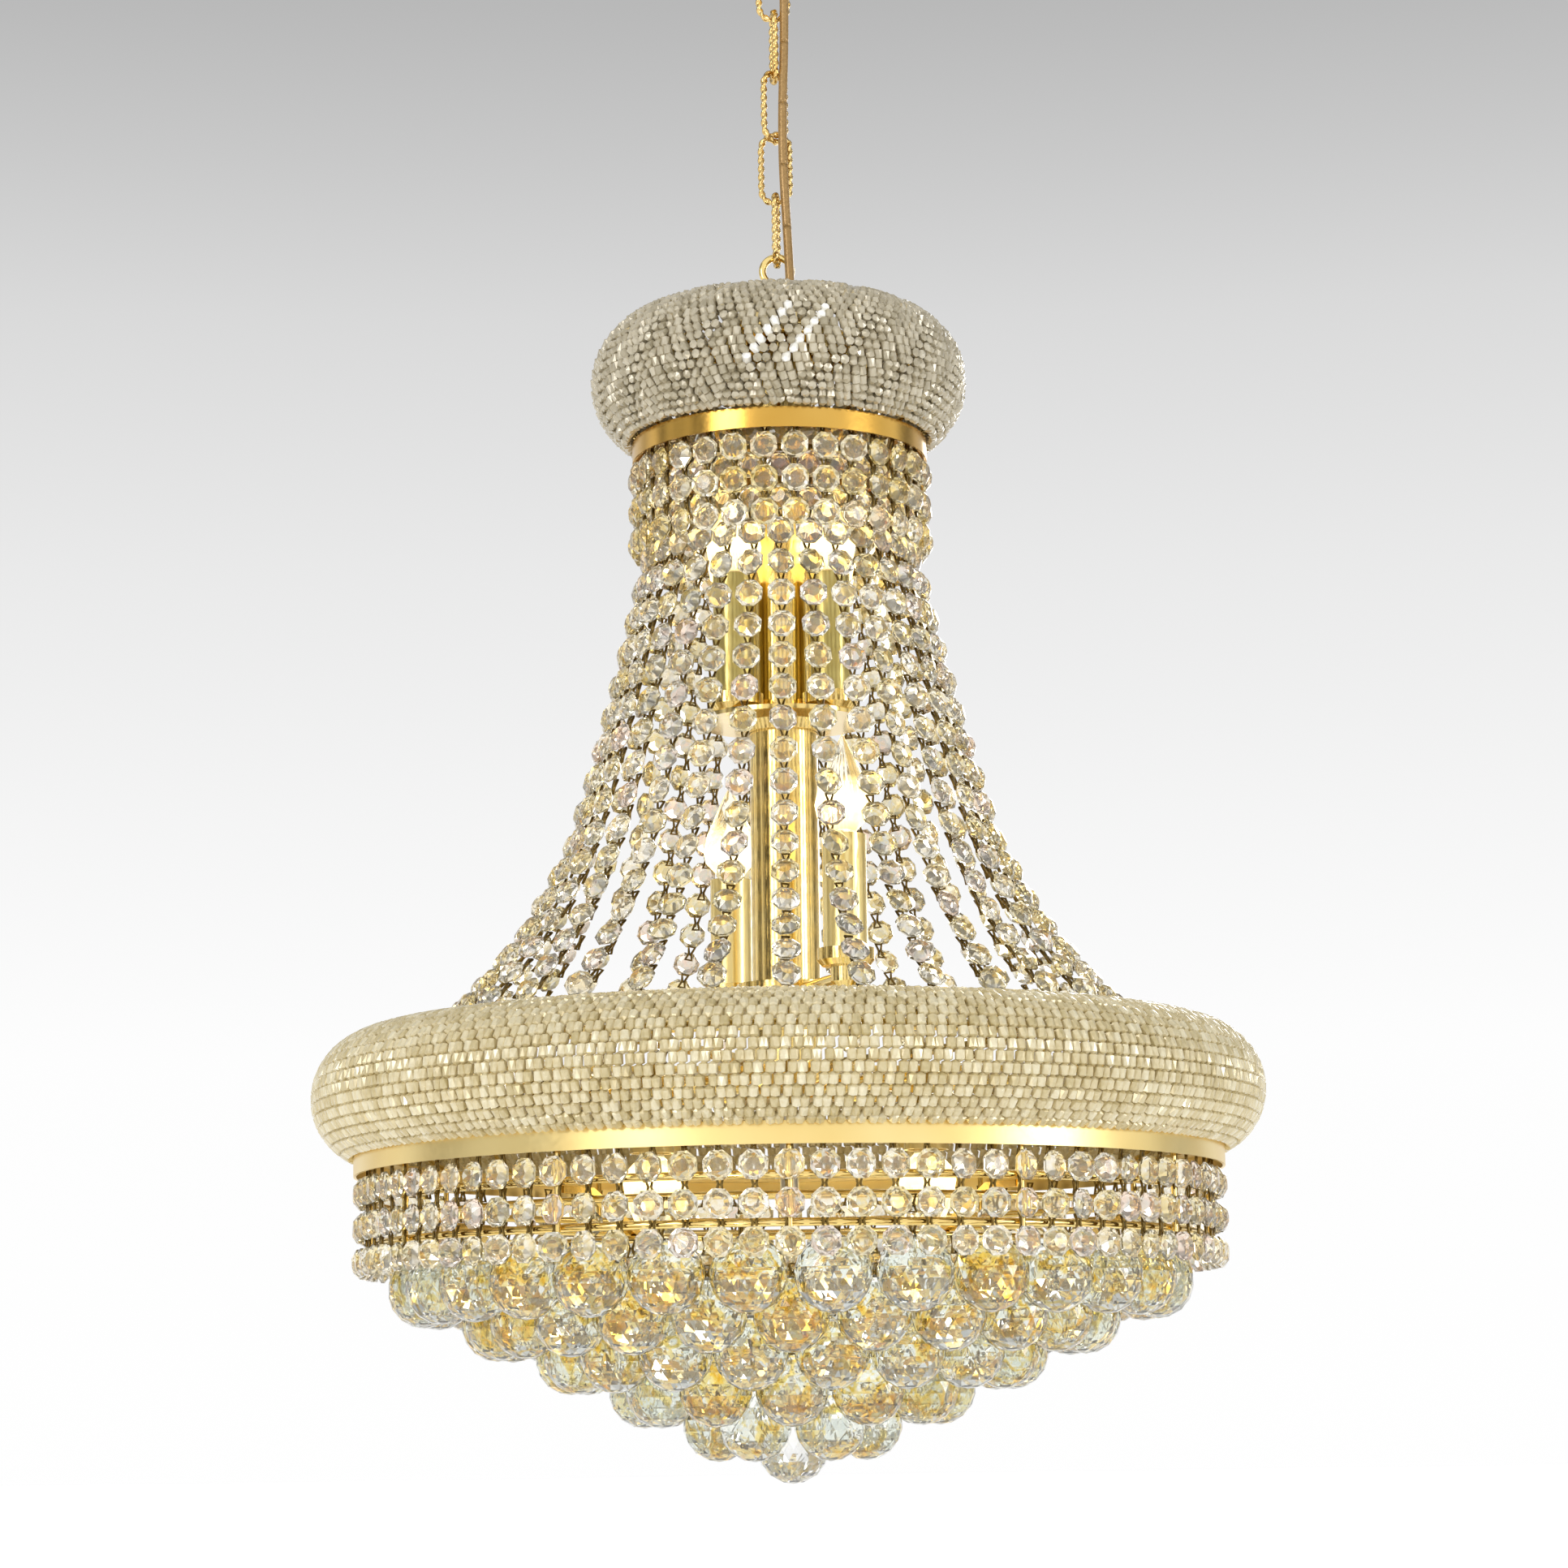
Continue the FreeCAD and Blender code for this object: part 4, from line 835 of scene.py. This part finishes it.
def splitCord(look):
    # one length for each joint that the cord crosses, cut at the middle of every link
    route = smoothRoute(look)
    cuts = [chain["top"] - chain["pitch"] * k - chain["length"] / 2 for k in range(len(chain["turns"]))]
    places = [min(range(len(route)), key=lambda i: abs(route[i].z - cut)) for cut in cuts]
    starts = [0] + places
    ends = places + [len(route) - 1]
    for k, (first, last) in enumerate(zip(starts, ends)):
        name = f"cord_length_{k + 1}"
        mesh = tubeMesh(name, route[first:last + 1], look["radius"], look["sides"])
        mesh.materials.append(cordFinish)
        piece = bpy.data.objects.new(name, mesh)
        scene.collection.objects.link(piece)
        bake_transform(piece)
        if k == 0:
            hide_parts("power_cord")


splitCord(cord)
print("chain and cord made")


beadPitch = 0.0181
strandWobble = {"octagons": 0.30, "pins": 0.25}
swag = {"start": (0.0715, -0.3520), "end": (0.1905, -0.6866), "count": 30, "phase": 6.0, "seed": 11,
        "heldAtFoot": True,
        "curve": [(0, 0), (0.013, 0.192), (0.042, 0.228), (0.118, 0.347), (0.256, 0.532),
                  (0.374, 0.669), (0.559, 0.795), (0.756, 0.882), (0.92, 0.944), (1, 1)]}


def swagLine(look):
    out = look["end"][0] - look["start"][0]
    down = look["end"][1] - look["start"][1]
    return [(look["start"][0] + out * x, 0, look["start"][1] + down * y) for x, y in look["curve"]]


def pathEdges(points):
    return [(k, k + 1) for k in range(len(points) - 1)]


def dropLine(look):
    return [(look["radius"], 0, look["top"]), (look["radius"], 0, look["top"] - look["length"])]


def strandPieces(name, node, line, look, glass):
    # a pin joins each octagon to the next; a strand held at its foot has one more there
    length = sum((Vector(b) - Vector(a)).length for a, b in zip(line, line[1:]))
    along = round(length / beadPitch)
    step = length / along
    common = {"Count": look["count"], "Phase": math.radians(look["phase"]), "Seed": look["seed"]}
    beads = grow(name, strands, dict(
        common, Bead=octagon, Along=along, Lead=step / 2, Until=length - step / 2,
        Wobble=strandWobble["octagons"], Material=glass), line, pathEdges(line))
    settle(beads, "chandelier", "crystal_octagons", node)
    pinsAlong = along + 1 if look["heldAtFoot"] else along
    lastPin = length if look["heldAtFoot"] else length - step
    pins = grow(name + "_pins", strands, dict(
        common, Bead=pin, Along=pinsAlong, Lead=0.0, Until=lastPin, Wobble=strandWobble["pins"],
        Material=pinGold), line, pathEdges(line))
    settle(pins, "chandelier", "polished_gold")


strandPieces("swag_octagons", "swag_strands", swagLine(swag), swag, octagonGlass)
neck = {"radius": 0.0793, "top": -0.3615, "length": 0.0543, "count": 30, "phase": 0.0, "seed": 12,
        "heldAtFoot": False}
strandPieces("neck_octagons", "neck_strands", dropLine(neck), neck, neckLampGlowGlass)
basket = {"radius": 0.2275, "top": -0.7510, "length": 0.0543, "count": 84, "phase": 0.0, "seed": 13,
          "heldAtFoot": False}
strandPieces("basket_octagons", "basket_strands", dropLine(basket), basket, octagonGlass)
print("strands made")


crownWrap = {"Bead": roundBead, "Strings": 120, "Beads": 24, "Ring Radius": 0.064,
             "Section Radius": 0.0367, "Level": -0.3165, "Start": math.radians(-60),
             "End": math.radians(120), "Lean": 17.0, "Width": 0.0062, "Height": 0.0070, "Jitter": 0.08,
             "Weave": 0.06, "Thin Above": math.radians(78), "Pale String": 83.0, "Pale Step": 4.0,
             "Pale From": 4.5, "Pale To": 11.5, "Seed": 21, "Material": crownBeads}
settle(grow("crown_beads", wraps, crownWrap), "chandelier", "small_beads", "crown_bead_wrap")
# the ring's wrap has no thinned strings and no pale ones
ringWrap = {"Bead": roundBead, "Strings": 300, "Beads": 20, "Ring Radius": 0.218,
            "Section Radius": 0.0330, "Level": -0.710, "Start": math.radians(-65),
            "End": math.radians(132), "Lean": 5.0, "Width": 0.0066, "Height": 0.0071, "Jitter": 0.05,
            "Weave": 0.09, "Thin Above": math.radians(200), "Pale String": -9.0, "Pale Step": 0.0,
            "Pale From": 0.0, "Pale To": 0.0, "Seed": 22, "Material": ringBeadsAndGlow}
settle(grow("ring_beads", wraps, ringWrap), "chandelier", "small_beads", "ring_bead_wrap")
print("wound beads made")


tier = {"tiers": 5, "step": 0.0389, "low": -0.882, "rise": 0.0179, "balls": 6, "ballSpin": 3.1,
        "ballSeed": 31, "octagonLift": 0.0075, "hangerSpin": 1.2, "octagonSeed": 41,
        "wireLifts": (0.0008, 0.0142), "wireSeed": 51}


def tierPieces(look):
    # above each ball hang a small octagon and the two pins that hold it
    hooks = []
    hookWires = []
    for k in range(look["tiers"]):
        count = look["balls"] * (k + 1)
        radius = look["step"] * (k + 1)
        level = look["low"] + look["rise"] * k
        common = {"Count": count, "Radius": radius, "Phase": 0.0}
        fromTop = look["tiers"] - k
        balls = grow(f"cut_balls_{fromTop}", circles, dict(
            common, Shape=ball, Level=level, Spin=look["ballSpin"], Seed=look["ballSeed"] + k,
            Material=ballGlass))
        settle(balls, "chandelier", "crystal_balls", f"ball_tier_{fromTop}")
        hooks.append(grow(f"hook{k}", circles, dict(
            common, Shape=smallOctagon, Level=level + ballRadius + look["octagonLift"],
            Spin=look["hangerSpin"], Seed=look["octagonSeed"] + k, Material=octagonGlass)))
        for lift in look["wireLifts"]:
            hookWires.append(grow(f"wires{k}{lift}", circles, dict(
                common, Shape=pin, Level=level + ballRadius + lift, Spin=look["hangerSpin"],
                Seed=look["wireSeed"] + k, Material=pinGold)))
    return hooks, hookWires


hooks, hookWires = tierPieces(tier)
bottom = {"level": -0.894, "octagonLift": 0.0255}
last = grow("cut_ball_bottom", circles, {"Shape": ball, "Count": 1, "Radius": 0.0, "Level": bottom["level"],
                                         "Phase": 0.0, "Spin": 0.0, "Seed": 61, "Material": clearBallGlass})
settle(last, "chandelier", "crystal_balls", "bottom_ball")
hooks.append(grow("hookBottom", circles, {
    "Shape": smallOctagon, "Count": 1, "Radius": 0.0, "Level": bottom["level"] + bottom["octagonLift"],
    "Phase": 0.0, "Spin": 0.0, "Seed": 62, "Material": octagonGlass}))
settle(joined("hanger_octagons", hooks), "chandelier", "crystal_octagons", "ball_hangers")
settle(joined("hanger_wires", hookWires), "chandelier", "polished_gold")
print("balls made")

for item in templates:
    bpy.data.objects.remove(item)
